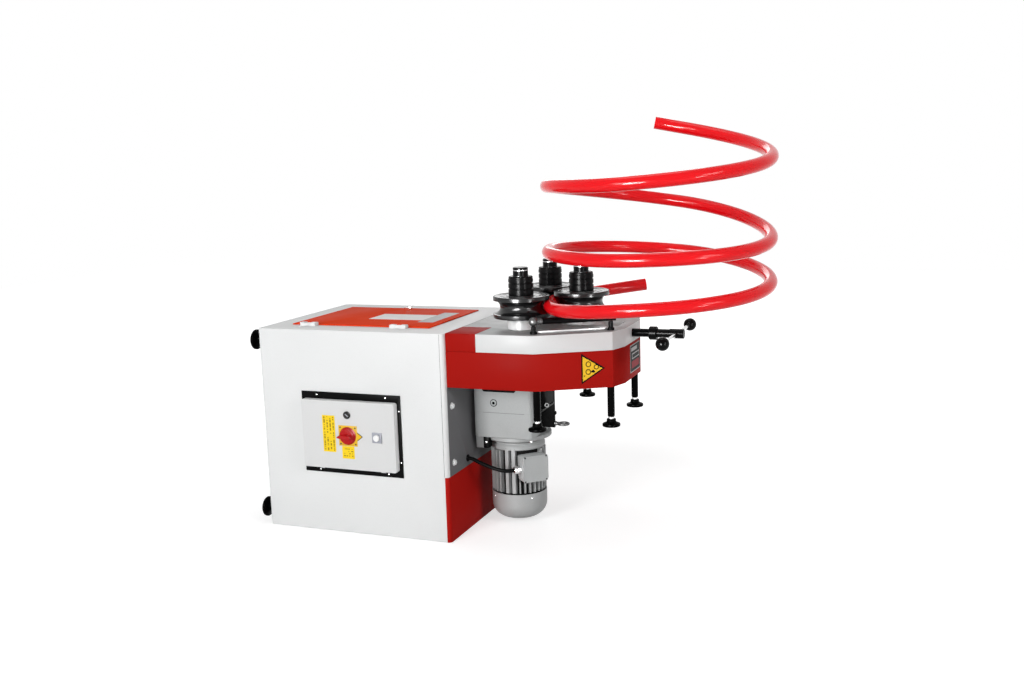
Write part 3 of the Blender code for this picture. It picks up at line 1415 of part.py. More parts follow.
def build_cowl(look, home):
    """The fan cowl: a cup with a round bottom and an air inlet in its middle."""
    top = MOTOR_BOTTOM - GAP
    quarter = math.pi / 2
    middle = (COWL_R - COWL_ROUND_R, COWL_BOTTOM + COWL_ROUND_R)
    outer_round = arc(middle, COWL_ROUND_R, 0, -quarter, CORNER_STEPS)
    inner_round = arc(middle, COWL_ROUND_R - COWL_WALL, -quarter, 0, CORNER_STEPS)
    profile = [(COWL_R, top), *outer_round, (COWL_INLET_R, COWL_BOTTOM)]
    profile += [(COWL_INLET_R, COWL_BOTTOM + COWL_WALL), *inner_round, (COWL_R - COWL_WALL, top)]
    turned("fan_cowl", profile, look, place=home, steps=COWL_STEPS)


def build_fan(look, home, top, shaft_top):
    """The cooling fan on the free end of the rotor's shaft."""
    low = top - FAN_WIDTH
    hub = turned(
        "motor_fan",
        [
            (0, shaft_top),
            (FAN_SHAFT_R, shaft_top),
            (FAN_SHAFT_R, top),
            (FAN_HUB_R, top),
            (FAN_HUB_R, low),
            (0, low),
        ],
        look, place=home, steps=SMALL_STEPS,
    )
    blades = []
    half = FAN_BLADE_T / 2
    for index in range(FAN_BLADES):
        blades.append(block(
            f"fan_blade_{index}", (FAN_HUB_R - SINK, -half, low + SINK), (FAN_R, half, top - SINK),
            place=home, turn=(0, 0, math.tau * index / FAN_BLADES),
        ))
    fuse(hub, *blades)
    hang(pivot("motor_fan_axis", home), hub)


def terminal_frame(radial, sideways, z):
    """A point given by its distance from the motor's axis and to the terminal box's left."""
    outward = Vector((math.cos(TERMINAL_TURN), math.sin(TERMINAL_TURN), 0))
    left = Vector((outward.y, -outward.x, 0))
    return Vector((MOTOR_X, 0, z)) + outward * radial + left * sideways


def gland_point(reach):
    """A point on the gland's axis, this far out of the terminal box's side."""
    radial = TERMINAL_PAD_REACH + GAP + TERMINAL_DEPTH / 2
    return tuple(terminal_frame(radial, TERMINAL_SIDE / 2 + GAP + reach, TERMINAL_Z))


def build_terminal_box(light, silver, home):
    """The motor's terminal box, turned towards the front, with the lead's gland on its left side."""
    low = TERMINAL_PAD_REACH + GAP
    prism(
        "terminal_box",
        rounded_rectangle(TERMINAL_HEIGHT, TERMINAL_SIDE, TERMINAL_CORNER_R),
        low,
        low + TERMINAL_DEPTH,
        light,
        place=(home[0], home[1], TERMINAL_Z),
        turn=(math.pi / 2, -math.pi / 2, math.pi / 2 + TERMINAL_TURN),
    )
    facing = (math.pi / 2, 0, TERMINAL_TURN)
    turned(
        "cable_gland",
        [
            (0, GLAND_LENGTH - GLAND_BORE_DEPTH),
            (CABLE_R + GAP, GLAND_LENGTH - GLAND_BORE_DEPTH),
            (CABLE_R + GAP, GLAND_LENGTH),
            (GLAND_R - STUB_CHAMFER, GLAND_LENGTH),
            (GLAND_R, GLAND_LENGTH - STUB_CHAMFER),
            (GLAND_R, 0),
            (0, 0),
        ],
        silver, place=gland_point(0), turn=facing, steps=SMALL_STEPS,
    )


def guide_point(along, offset):
    """A place on the plate: metres along the guide from its start, and metres inward from it."""
    start, end = Vector(GUIDE_START), Vector(GUIDE_END)
    run = (end - start).normalized()
    inward = Vector((-run.y, run.x))
    return start + run * along + inward * offset


def build_side_guide(black, steel):
    """The guide rod on its two posts and the flat strip beside it."""
    start, end = Vector(GUIDE_START), Vector(GUIDE_END)
    length = (end - start).length
    heading = math.atan2(end.y - start.y, end.x - start.x)
    level = CABINET_HEIGHT + GUIDE_RISE
    for name, spot in (("guide_post_left", start), ("guide_post_right", end)):
        low = CABINET_HEIGHT + GAP
        top = level - GUIDE_BALL_R - GAP if spot is start else level - GUIDE_ROD_R - GAP
        profile = [
            (0, top), (GUIDE_POST_R, top), (GUIDE_POST_R, low + GUIDE_POST_FOOT_T),
            (GUIDE_POST_FOOT_R, low + GUIDE_POST_FOOT_T), (GUIDE_POST_FOOT_R, low), (0, low),
        ]
        turned(name, profile, black, place=(spot.x, spot.y, 0), steps=SMALL_STEPS)
    cut_off = math.asin(GUIDE_ROD_R / GUIDE_BALL_R)
    ball = [
        (GUIDE_BALL_R * math.sin(angle), GUIDE_BALL_R * math.cos(angle))
        for angle in (
            cut_off + (math.pi - cut_off) * step / CORNER_STEPS / 2 for step in range(2 * CORNER_STEPS + 1)
        )
    ]
    tip = length + GUIDE_OVERHANG
    profile = [(0, tip), (GUIDE_ROD_R, tip)] + ball[:-1] + [(0, -GUIDE_BALL_R)]
    turned(
        "guide_rod", profile, black,
        place=(start.x, start.y, level), turn=(0, math.pi / 2, heading), steps=SMALL_STEPS,
    )
    near, far = STRIP_OFFSET - STRIP_WIDTH / 2, STRIP_OFFSET + STRIP_WIDTH / 2
    corners = [
        guide_point(STRIP_MARGIN, near), guide_point(length - STRIP_MARGIN, near),
        guide_point(length - STRIP_MARGIN, far), guide_point(STRIP_MARGIN, far),
    ]
    low = CABINET_HEIGHT + GAP
    prism("guide_strip", [tuple(corner) for corner in corners], low, low + STRIP_T, steel)


def build_bracket(black, steel):
    """The bracket that hangs from the head beside the gearbox, with its ring."""
    top = HEAD_BOTTOM - GAP
    half = BRACKET_LENGTH / 2
    plate = block(
        "hanging_bracket",
        (-half, -BRACKET_T / 2, top - BRACKET_HEIGHT),
        (half, BRACKET_T / 2, top),
        black,
        place=(BRACKET_X, BRACKET_Y, 0),
    )
    tab = block(
        "bracket_tab",
        (-half, -BRACKET_T / 2 + SINK, top - BRACKET_T),
        (half, BRACKET_TAB_DEPTH, top),
        place=(BRACKET_X, BRACKET_Y, 0),
    )
    bolt = rod(
        "bracket_bolt", BRACKET_BOLT_R, 0, BRACKET_T / 2 + BRACKET_BOLT_RISE,
        place=(BRACKET_X, BRACKET_Y, BRACKET_BOLT_Z), turn=(math.pi / 2, 0, 0),
    )
    lever_y = BRACKET_Y - BRACKET_T / 2 - LEVER_R / 2
    lever = swept(
        "bracket_lever",
        [
            (BRACKET_X + half - OVERRUN, lever_y, top - LEVER_DROP + LEVER_RISE),
            (BRACKET_X, lever_y, top - LEVER_DROP + LEVER_RISE / 2),
            (BRACKET_X - half + OVERRUN, lever_y, top - LEVER_DROP),
        ],
        LEVER_R,
        ROUND_RESOLUTION,
    )
    fuse(plate, tab, bolt, lever)
    start_x = BRACKET_X + half + GAP
    along = (0, math.pi / 2, 0)
    shank = rod(
        "bracket_eye", EYE_SHANK_R, 0, EYE_SHANK_LENGTH, steel,
        place=(start_x, BRACKET_Y, EYE_Z), turn=along,
    )
    section = arc((EYE_RING_R, 0), EYE_WIRE_R, 0, math.tau * (1 - 1 / WIRE_STEPS), WIRE_STEPS - 1)
    ring = turned(
        "eye_ring", list(reversed(section)),
        place=(start_x + EYE_SHANK_LENGTH + EYE_RING_R - EYE_WIRE_R / 2, BRACKET_Y, EYE_Z),
        steps=ROUND_STEPS,
    )
    fuse(shank, ring)


def head_foot_places(name):
    """The four feet under the head: a name for each, with its X and Y."""
    return [
        (f"{name}_near_front", HEAD_BEND_X, -HEAD_FOOT_NEAR_Y),
        (f"{name}_near_back", HEAD_BEND_X, HEAD_FOOT_NEAR_Y),
        (f"{name}_far_front", HEAD_FOOT_FAR_X, -HEAD_FOOT_FAR_Y),
        (f"{name}_far_back", HEAD_FOOT_FAR_X, HEAD_FOOT_FAR_Y),
    ]


def build_head_feet(look):
    """Threaded rods with swivelling pads, screwed up into the head's floor plate."""
    top = FLOOR_TOP + HEAD_FOOT_ABOVE
    pad_top = HEAD_FOOT_BOTTOM + HEAD_FOOT_PAD_T
    hub_top = pad_top + HEAD_FOOT_HUB_T
    neck_top = hub_top + HEAD_FOOT_NECK_T
    profile = [
        (0, top),
        (HEAD_FOOT_ROD_R, top),
        (HEAD_FOOT_ROD_R, neck_top),
        (HEAD_FOOT_NECK_R, neck_top),
        (HEAD_FOOT_NECK_R, hub_top),
        (HEAD_FOOT_HUB_R, hub_top),
        (HEAD_FOOT_HUB_R, pad_top + HEAD_FOOT_HUB_T / 2),
        (HEAD_FOOT_PAD_R, pad_top),
        (HEAD_FOOT_PAD_R, HEAD_FOOT_BOTTOM),
        (0, HEAD_FOOT_BOTTOM),
    ]
    for name, x, y in head_foot_places("head_foot"):
        turned(name, profile, look, place=(x, y, 0), steps=SMALL_STEPS)


def ring_rise(angle):
    """How high the tube's centre line is above the grooves, at an angle in degrees."""
    if angle <= RING_LEVEL_END_DEG:
        return 0.0
    marks = [(RING_LEVEL_END_DEG, 0.0)]
    for index, share in enumerate(RING_RISE_SHARES):
        marks.append((RING_FIRST_MARK_DEG + RING_MARK_STEP_DEG * index, share))
    slopes = [0.0]
    for before, after in zip(marks, marks[2:]):
        slopes.append((after[1] - before[1]) / (after[0] - before[0]))
    slopes.append(slopes[-1])
    for index in range(len(marks) - 1):
        (a0, s0), (a1, s1) = marks[index], marks[index + 1]
        if angle <= a1:
            span = a1 - a0
            t = (angle - a0) / span
            share = (
                (2 * t**3 - 3 * t**2 + 1) * s0
                + (t**3 - 2 * t**2 + t) * span * slopes[index]
                + (3 * t**2 - 2 * t**3) * s1
                + (t**3 - t**2) * span * slopes[index + 1]
            )
            return RING_RISE * share
    return RING_RISE * marks[-1][1]


def ring_point(angle):
    """The tube's centre line at an angle in degrees, counted up from its lower end."""
    turn = math.radians(angle)
    return (RING_X + RING_R * math.cos(turn), RING_R * math.sin(turn), GROOVE_Z + ring_rise(angle))


def build_rolled_tube(look):
    """The tube in the rollers: a hollow tube of three rising turns."""
    angles = [RING_START_DEG]
    last = RING_START_DEG + 360 * RING_TURNS
    while angles[-1] < last:
        fine = RING_FINE_FROM_DEG <= angles[-1] < RING_FINE_TO_DEG
        angles.append(angles[-1] + (RING_FINE_STEP_DEG if fine else RING_STEP_DEG))
    points = [ring_point(angle) for angle in angles]
    outer = swept("rolled_tube", points, RING_TUBE_R, TUBE_RESOLUTION, look)
    first = Vector(points[0]) + (Vector(points[0]) - Vector(points[1])).normalized() * OVERRUN
    end = Vector(points[-1]) + (Vector(points[-1]) - Vector(points[-2])).normalized() * OVERRUN
    bore_points = [tuple(first), *points, tuple(end)]
    bore = swept("tube_bore", bore_points, RING_TUBE_R - RING_TUBE_WALL, BORE_RESOLUTION)
    cut(outer, bore)
    spacing = min(
        (Vector(ring_point(angle + 360)) - Vector(ring_point(angle))).length
        for angle in range(RING_START_DEG, last - 360, RING_FINE_STEP_DEG)
    )
    print("least gap between the tube's turns:", round(spacing - 2 * RING_TUBE_R, 4))


def build():
    """Builds the whole machine."""
    clear_scene()
    white = finish("cabinet_white", (0.78, 0.79, 0.79), 0.35)
    red = finish("head_red", (0.36, 0.02, 0.015), 0.4)
    light = finish("plate_grey", (0.55, 0.56, 0.56), 0.45)
    dark_grey = finish("side_grey", (0.12, 0.12, 0.125), 0.5)
    black = finish("black_steel", (0.015, 0.015, 0.017), 0.3, 0.6)
    black_paint = finish("black_paint", (0.02, 0.02, 0.02), 0.45)
    steel = finish("steel", (0.45, 0.45, 0.46), 0.35, 1.0)
    chrome = finish("chrome", (0.75, 0.75, 0.76), 0.12, 1.0)
    silver = finish("motor_silver", (0.5, 0.52, 0.52), 0.45, 0.3)
    yellow = finish("switch_yellow", (0.85, 0.55, 0.03), 0.5)
    switch_red = finish("switch_red", (0.6, 0.02, 0.02), 0.35)
    plastic_grey = finish("bezel_grey", (0.4, 0.41, 0.42), 0.5)
    plastic_white = finish("button_white", (0.85, 0.85, 0.85), 0.3)
    tube_red = finish("tube_red", (0.75, 0.01, 0.015), 0.15)

    build_cabinet(white, dark_grey)
    build_side_covers(dark_grey, red)
    build_access_door(red, white, steel)
    lid_axis = build_enclosure(black_paint, light)
    build_controls(lid_axis, yellow, switch_red, black_paint, plastic_grey, plastic_white)
    build_base_feet(black_paint)
    build_head(red, light, steel)
    axes = build_drive(steel, steel)
    carriage_axis = build_carriage(light)
    build_rollers(axes, carriage_axis, black, light, steel)
    build_screw(carriage_axis, black, chrome)
    build_gearmotor(light, silver, black_paint)
    build_side_guide(black, steel)
    build_bracket(black_paint, steel)
    build_head_feet(black_paint)
    build_rolled_tube(tube_red)


build()
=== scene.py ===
"""Looks of a three-roll ring roller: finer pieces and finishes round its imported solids.

Metres, +X along the machine, +Y to the back, +Z up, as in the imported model.
"""

import json
import logging
import math
from contextlib import contextmanager
from dataclasses import dataclass
from enum import Enum
from typing import Any, Callable, Iterator, Mapping, Optional, Sequence, Union

import bmesh
import bpy
from mathutils import Matrix, Vector

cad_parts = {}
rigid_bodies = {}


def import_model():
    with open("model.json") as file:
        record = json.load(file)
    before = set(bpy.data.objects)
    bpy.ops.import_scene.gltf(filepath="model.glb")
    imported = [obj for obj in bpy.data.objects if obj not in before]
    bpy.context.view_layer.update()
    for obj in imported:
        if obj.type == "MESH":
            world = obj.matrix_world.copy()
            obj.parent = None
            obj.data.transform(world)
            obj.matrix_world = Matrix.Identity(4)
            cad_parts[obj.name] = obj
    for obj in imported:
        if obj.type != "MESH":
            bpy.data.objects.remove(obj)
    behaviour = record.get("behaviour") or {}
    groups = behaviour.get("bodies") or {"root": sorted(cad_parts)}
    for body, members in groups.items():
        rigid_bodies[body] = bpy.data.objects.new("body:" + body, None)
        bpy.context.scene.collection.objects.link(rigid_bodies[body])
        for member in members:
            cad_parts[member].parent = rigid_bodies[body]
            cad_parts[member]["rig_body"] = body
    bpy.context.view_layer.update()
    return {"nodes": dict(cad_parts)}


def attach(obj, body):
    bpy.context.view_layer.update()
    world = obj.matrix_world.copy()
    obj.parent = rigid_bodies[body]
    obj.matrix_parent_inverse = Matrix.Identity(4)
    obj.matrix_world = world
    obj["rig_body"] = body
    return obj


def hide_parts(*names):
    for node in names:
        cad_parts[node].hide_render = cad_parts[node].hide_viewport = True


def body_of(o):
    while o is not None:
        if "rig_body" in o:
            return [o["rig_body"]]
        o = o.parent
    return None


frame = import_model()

LOG = logging.getLogger("ring_roller")
GAP = 0.0003
QUARTER = math.pi / 2
Colour = tuple[float, float, float]
Point = Sequence[float]
Pair = tuple[float, float]
Outline = list[Pair]
Profile = Sequence[Pair]
Piece = bpy.types.Object
Level = Union["Signal", float, Sequence[float]]


class Facing(Enum):
    """Which way a turned or flat detail looks, as the rotation that takes its own +Z there."""

    UP = (0.0, 0.0, 0.0)
    DOWN = (math.pi, 0.0, 0.0)
    FRONT = (QUARTER, 0.0, 0.0)
    BACK = (-QUARTER, 0.0, 0.0)
    RIGHT = (0.0, QUARTER, 0.0)
    LEFT = (0.0, -QUARTER, 0.0)


class Grain(Enum):
    """The direction that brushing or grinding marks run in, as lengths of a mark along X, Y, Z."""

    ALONG = (0.35, 0.004, 0.004)
    ACROSS = (0.004, 0.35, 0.004)
    UPRIGHT = (0.004, 0.004, 0.35)


class Signal:
    """A node's output that can be used in sums like a number."""

    def __init__(self, recipe: "Recipe", socket: bpy.types.NodeSocket) -> None:
        """Wraps one output socket.

        Args:
            recipe: The material being made.
            socket: The output to read.
        """
        self.recipe = recipe
        self.socket = socket

    def _join(self, operation: str, first: Level, second: Level) -> "Signal":
        """Adds one Math node.

        Args:
            operation: The Math node's operation.
            first: Its first value.
            second: Its second value.

        Returns:
            The node's result.
        """
        return self.recipe.add("ShaderNodeMath", {"operation": operation}, {0: first, 1: second})

    def __add__(self, other: Level) -> "Signal":
        """self + other."""
        return self._join("ADD", self, other)

    def __radd__(self, other: Level) -> "Signal":
        """other + self."""
        return self._join("ADD", other, self)

    def __sub__(self, other: Level) -> "Signal":
        """self - other."""
        return self._join("SUBTRACT", self, other)

    def __rsub__(self, other: Level) -> "Signal":
        """other - self."""
        return self._join("SUBTRACT", other, self)

    def __mul__(self, other: Level) -> "Signal":
        """self * other."""
        return self._join("MULTIPLY", self, other)

    def __rmul__(self, other: Level) -> "Signal":
        """other * self."""
        return self._join("MULTIPLY", other, self)

    def __pow__(self, other: Level) -> "Signal":
        """self ** other."""
        return self._join("POWER", self, other)

    def at_least(self, low: Level) -> "Signal":
        """The larger of this and a level."""
        return self._join("MAXIMUM", self, low)

    def at_most(self, high: Level) -> "Signal":
        """The smaller of this and a level."""
        return self._join("MINIMUM", self, high)

    def between(self, low: float, high: float) -> "Signal":
        """How far this has gone from low to high, kept from 0 to 1."""
        return ((self - low) * (1.0 / (high - low))).at_least(0.0).at_most(1.0)


class Recipe:
    """One material while it is being made."""

    def __init__(self, name: str) -> None:
        """Starts from a plain Principled material.

        Args:
            name: The material's name.
        """
        self.material = bpy.data.materials.new(name)
        self.material.use_nodes = True
        self.tree = self.material.node_tree
        self.shader = self.tree.nodes["Principled BSDF"]

    def feed(self, socket: bpy.types.NodeSocket, value: Level) -> None:
        """Links a signal to a socket, or sets the socket's own value.

        Args:
            socket: The input.
            value: A signal, a number or a colour.
        """
        if isinstance(value, Signal):
            self.tree.links.new(value.socket, socket)
        else:
            socket.default_value = value

    def add(
        self,
        kind: str,
        settings: Optional[Mapping[str, Any]] = None,
        sockets: Optional[Mapping[Union[int, str], Level]] = None,
        output: Union[int, str] = 0,
    ) -> Signal:
        """Adds any node.

        Args:
            kind: The node's type.
            settings: Its properties, set first.
            sockets: Values or signals for its inputs.
            output: Which output to return.

        Returns:
            The chosen output.
        """
        node = self.tree.nodes.new(kind)
        for key, value in (settings or {}).items():
            setattr(node, key, value)
        for key, value in (sockets or {}).items():
            self.feed(node.inputs[key], value)
        return Signal(self, node.outputs[output])

    def place(self, centre: Point = (0, 0, 0), turn: Point = (0, 0, 0), mark: Point = (1, 1, 1)) -> Signal:
        """Object coordinates, centred and turned for a pattern.

        Args:
            centre: The pattern's origin.
            turn: Its rotation.
            mark: The length of one unit of the pattern along each axis.

        Returns:
            The coordinates.
        """
        raw = self.add("ShaderNodeTexCoord", output="Object")
        values = {"Vector": raw, "Location": tuple(centre), "Rotation": tuple(turn), "Scale": tuple(mark)}
        return self.add("ShaderNodeMapping", {"vector_type": "TEXTURE"}, values)

    def noise(self, at: Signal, scale: float, detail: float = 2.0, roughness: float = 0.5) -> Signal:
        """Cloudy noise from 0 to 1.

        Args:
            at: The coordinates.
            scale: Cells per metre.
            detail: How many finer layers.
            roughness: How strong the finer layers are.

        Returns:
            The noise.
        """
        values = {"Vector": at, "Scale": scale, "Detail": detail, "Roughness": roughness}
        return self.add("ShaderNodeTexNoise", {}, values)

    def specks(self, at: Signal, scale: float) -> Signal:
        """Distance to the nearest of many scattered points, for pits.

        Args:
            at: The coordinates.
            scale: Points per metre.

        Returns:
            The distance, in cells.
        """
        return self.add("ShaderNodeTexVoronoi", {}, {"Vector": at, "Scale": scale})

    def blend(self, share: Level, first: Level, second: Level) -> Signal:
        """A colour between two colours.

        Args:
            share: 0 gives the first, 1 the second.
            first: A colour.
            second: A colour.

        Returns:
            The mixed colour.
        """
        colours = [value if isinstance(value, Signal) else (*value, 1.0) for value in (first, second)]
        return self.add(
            "ShaderNodeMix", {"data_type": "RGBA"}, {0: share, 6: colours[0], 7: colours[1]}, output=2
        )

    def rings(self, at: Signal) -> Signal:
        """Coordinates of (distance from the own Z axis, height, 0), for marks left by turning.

        Args:
            at: Centred coordinates.

        Returns:
            The new coordinates.
        """
        x = self.add("ShaderNodeSeparateXYZ", {}, {0: at}, output=0)
        y = Signal(self, x.socket.node.outputs[1])
        z = Signal(self, x.socket.node.outputs[2])
        reach = (x * x + y * y) ** 0.5
        return self.add("ShaderNodeCombineXYZ", {}, {0: reach, 1: z})

    def relief(self, height: Signal, strength: float, depth: float) -> None:
        """Turns a height pattern into bumps.

        Args:
            height: The pattern.
            strength: How strongly it shows, 0 to 1.
            depth: Its depth in metres.
        """
        bump = self.add("ShaderNodeBump", {}, {"Strength": strength, "Distance": depth, "Height": height})
        self.feed(self.shader.inputs["Normal"], bump)


def shade(colour: Colour, factor: float) -> Colour:
    """A lighter or darker colour.

    Args:
        colour: The colour.
        factor: Above 1 is lighter.

    Returns:
        The scaled colour, at most white.
    """
    return tuple(min(1.0, part * factor) for part in colour)


@dataclass(frozen=True)
class Finish:
    """What every finish has."""

    name: str
    colour: Colour
    roughness: float = 0.4
    metallic: float = 0.0
    specular: float = 0.5
    coat: float = 0.0

    def make(self) -> bpy.types.Material:
        """Makes the material, or gives the one already made.

        Returns:
            The material.
        """
        found = bpy.data.materials.get("finish_" + self.name)
        if found is not None:
            return found
        recipe = Recipe("finish_" + self.name)
        shader = recipe.shader
        shader.inputs["Metallic"].default_value = self.metallic
        shader.inputs["Specular IOR Level"].default_value = self.specular
        shader.inputs["Coat Weight"].default_value = self.coat
        shader.inputs["Coat Roughness"].default_value = 0.06
        self.dress(recipe)
        return recipe.material

    def cover(self, recipe: Recipe, colour: Level, roughness: Level) -> None:
        """Feeds the two main sockets.

        Args:
            recipe: The material being made.
            colour: Its base colour.
            roughness: Its roughness.
        """
        recipe.feed(recipe.shader.inputs["Base Color"], colour)
        recipe.feed(recipe.shader.inputs["Roughness"], roughness)

    def dress(self, recipe: Recipe) -> None:
        """Adds the finish's own pattern; each kind of finish has its own."""
        raise NotImplementedError


@dataclass(frozen=True)
class PowderCoat(Finish):
    """Sprayed and baked paint on sheet steel: orange peel, faint clouds, hand smudges."""

    peel: float = 0.09
    cloud: float = 0.025

    def dress(self, recipe: Recipe) -> None:
        """Adds clouds to the colour, smudges to the gloss and orange peel to the surface."""
        at = recipe.place()
        clouds = recipe.noise(at, scale=5.0, detail=3.0)
        dust = recipe.noise(at, scale=420.0, detail=1.0).between(0.62, 0.75)
        tone = recipe.blend(clouds, shade(self.colour, 1 - self.cloud), shade(self.colour, 1 + self.cloud))
        tone = recipe.blend(dust * 0.25, tone, shade(self.colour, 0.82))
        smudges = recipe.noise(at, scale=17.0, detail=5.0, roughness=0.6)
        self.cover(recipe, tone, self.roughness + (smudges - 0.5) * 0.16)
        peel = recipe.noise(at, scale=640.0, detail=1.0) + 0.6 * recipe.noise(at, scale=230.0, detail=1.0)
        recipe.relief(peel, strength=self.peel, depth=0.0004)


@dataclass(frozen=True)
class BareSteel(Finish):
    """Ground or drawn bright steel with marks in one direction."""

    grain: Grain = Grain.ALONG

    def dress(self, recipe: Recipe) -> None:
        """Adds long fine marks, darker stains and a little relief."""
        marks = recipe.noise(recipe.place(mark=self.grain.value), scale=6.0, detail=4.0, roughness=0.7)
        stains = recipe.noise(recipe.place(), scale=22.0, detail=4.0, roughness=0.6).between(0.45, 0.8)
        tone = recipe.blend(marks, shade(self.colour, 0.8), shade(self.colour, 1.15))
        tone = recipe.blend(stains * 0.35, tone, shade(self.colour, 0.6))
        self.cover(recipe, tone, self.roughness + (marks - 0.5) * 0.22 + stains * 0.1)
        recipe.relief(marks, strength=0.12, depth=0.0003)


@dataclass(frozen=True)
class TurnedSteel(Finish):
    """Steel turned on a lathe: fine rings round an axis, with oil stains."""

    centre: Point = (0.0, 0.0, 0.0)
    turn: Point = (0.0, 0.0, 0.0)
    wear: float = 0.25

    def dress(self, recipe: Recipe) -> None:
        """Adds rings, worn brighter bands and stains."""
        at = recipe.place(self.centre, self.turn)
        round_it = recipe.rings(at)
        fine = recipe.noise(round_it, scale=900.0, detail=2.0)
        bands = recipe.noise(round_it, scale=130.0, detail=2.0).between(0.4, 0.72)
        stains = recipe.noise(at, scale=40.0, detail=4.0, roughness=0.6)
        tone = recipe.blend(stains, shade(self.colour, 0.75), shade(self.colour, 1.25))
        tone = recipe.blend(bands * self.wear, tone, shade(self.colour, 2.6))
        self.cover(recipe, tone, self.roughness + (fine - 0.5) * 0.12 + (stains - 0.5) * 0.14)
        recipe.relief(fine, strength=0.1, depth=0.0002)


@dataclass(frozen=True)
class CastPaint(Finish):
    """Silver paint on rough cast aluminium, with grime that settles in patches."""

    pits: float = 0.35

    def dress(self, recipe: Recipe) -> None:
        """Adds the casting's skin, pits and grime."""
        at = recipe.place()
        skin = recipe.noise(at, scale=300.0, detail=4.0, roughness=0.65)
        pitted = recipe.specks(at, 380.0).between(0.05, 0.4)
        grime = recipe.noise(at, scale=14.0, detail=5.0, roughness=0.65).between(0.5, 0.85)
        tone = recipe.blend(skin, shade(self.colour, 0.9), shade(self.colour, 1.08))
        tone = recipe.blend(grime * 0.22, tone, shade(self.colour, 0.62))
        self.cover(recipe, tone, self.roughness + (skin - 0.5) * 0.25 + grime * 0.12)
        recipe.relief(skin * 0.7 + pitted * 0.4, strength=self.pits, depth=0.0006)


@dataclass(frozen=True)
class Moulded(Finish):
    """Moulded plastic or rubber with a fine eroded grain and finger marks."""

    grain: float = 0.12
    cells: float = 1500.0

    def dress(self, recipe: Recipe) -> None:
        """Adds the mould's grain, finger marks and slight fading."""
        at = recipe.place()
        fading = recipe.noise(at, scale=30.0, detail=3.0)
        grain = recipe.noise(at, scale=self.cells, detail=2.0)
        marks = recipe.noise(at, scale=90.0, detail=4.0, roughness=0.6)
        tone = recipe.blend(fading, shade(self.colour, 0.93), shade(self.colour, 1.07))
        self.cover(recipe, tone, self.roughness + (marks - 0.5) * 0.16)
        recipe.relief(grain, strength=self.grain, depth=0.0002)


@dataclass(frozen=True)
class TubeCoat(Finish):
    """Glossy coloured coating on the rolled tube, rubbed along the line where the rollers ran."""

    centre: Point = (0.0, 0.0, 0.0)

    def dress(self, recipe: Recipe) -> None:
        """Adds waviness, fine scuffs along the tube and small chips."""
        at = recipe.place(self.centre)
        round_it = recipe.rings(at)
        scuffs = recipe.noise(round_it, scale=700.0, detail=2.0).between(0.52, 0.8)
        patches = recipe.noise(at, scale=9.0, detail=4.0, roughness=0.6).between(0.4, 0.7)
        clouds = recipe.noise(at, scale=6.0, detail=3.0)
        tone = recipe.blend(clouds, shade(self.colour, 0.9), shade(self.colour, 1.06))
        tone = recipe.blend(scuffs * patches * 0.12, tone, (0.7, 0.05, 0.05))
        self.cover(recipe, tone, self.roughness + scuffs * patches * 0.22)
        waves = recipe.noise(at, scale=60.0, detail=2.0) + 0.2 * recipe.noise(at, scale=900.0, detail=1.0)
        recipe.relief(waves, strength=0.1, depth=0.0005)


@dataclass(frozen=True)
class Print(Finish):
    """Foil with rows of small marks that stand for print, but say nothing."""

    ink: Colour = (0.02, 0.02, 0.02)
    middle: tuple[float, float, float] = (0.0, 0.0, 0.0)
    half: Pair = (0.01, 0.01)
    row: float = 0.006
    letter: float = 0.0016
    heading: float = 0.0
    upright: bool = False
    amount: float = 0.42

    def dress(self, recipe: Recipe) -> None:
        """Adds the rows of marks inside their margins, and rubbed patches."""
        at = recipe.place(self.middle, (0.0, 0.0, self.heading))
        x = recipe.add("ShaderNodeSeparateXYZ", {}, {0: at}, output=0)
        z = Signal(recipe, x.socket.node.outputs[2])
        across, along = (x, z) if self.upright else (z, x)
        place = across * (1.0 / self.row)
        row = recipe.add("ShaderNodeMath", {"operation": "FLOOR"}, {0: place})
        letter = recipe.add("ShaderNodeMath", {"operation": "FLOOR"}, {0: along * (1.0 / self.letter)})
        cell = recipe.add("ShaderNodeCombineXYZ", {}, {0: row, 1: letter})
        chance = recipe.add("ShaderNodeTexWhiteNoise", {"noise_dimensions": "3D"}, {"Vector": cell})
        height = recipe.add("ShaderNodeMath", {"operation": "FRACT"}, {0: place})
        mark = self.over(chance, 1.0 - self.amount) * self.over(height, 0.3) * self.over(0.75 - height, 0.0)
        for value, half in ((x, self.half[0]), (z, self.half[1])):
            size = recipe.add("ShaderNodeMath", {"operation": "ABSOLUTE"}, {0: value})
            mark = mark * self.over(half - size, 0.0)
        rubbed = recipe.noise(recipe.place(), scale=75.0, detail=4.0, roughness=0.6).between(0.45, 0.8)
        tone = recipe.blend(rubbed * 0.18, self.colour, shade(self.colour, 0.72))
        tone = recipe.blend(mark * 0.85, tone, self.ink)
        self.cover(recipe, tone, self.roughness + rubbed * 0.15)
        recipe.relief(recipe.noise(recipe.place(), scale=160.0, detail=2.0), strength=0.06, depth=0.0004)

    def over(self, value: Signal, limit: float) -> Signal:
        """1 where a value is over a limit.

        Args:
            value: The value.
            limit: The limit.

        Returns:
            The signal.
        """
        return value.recipe.add("ShaderNodeMath", {"operation": "GREATER_THAN"}, {0: value, 1: limit})


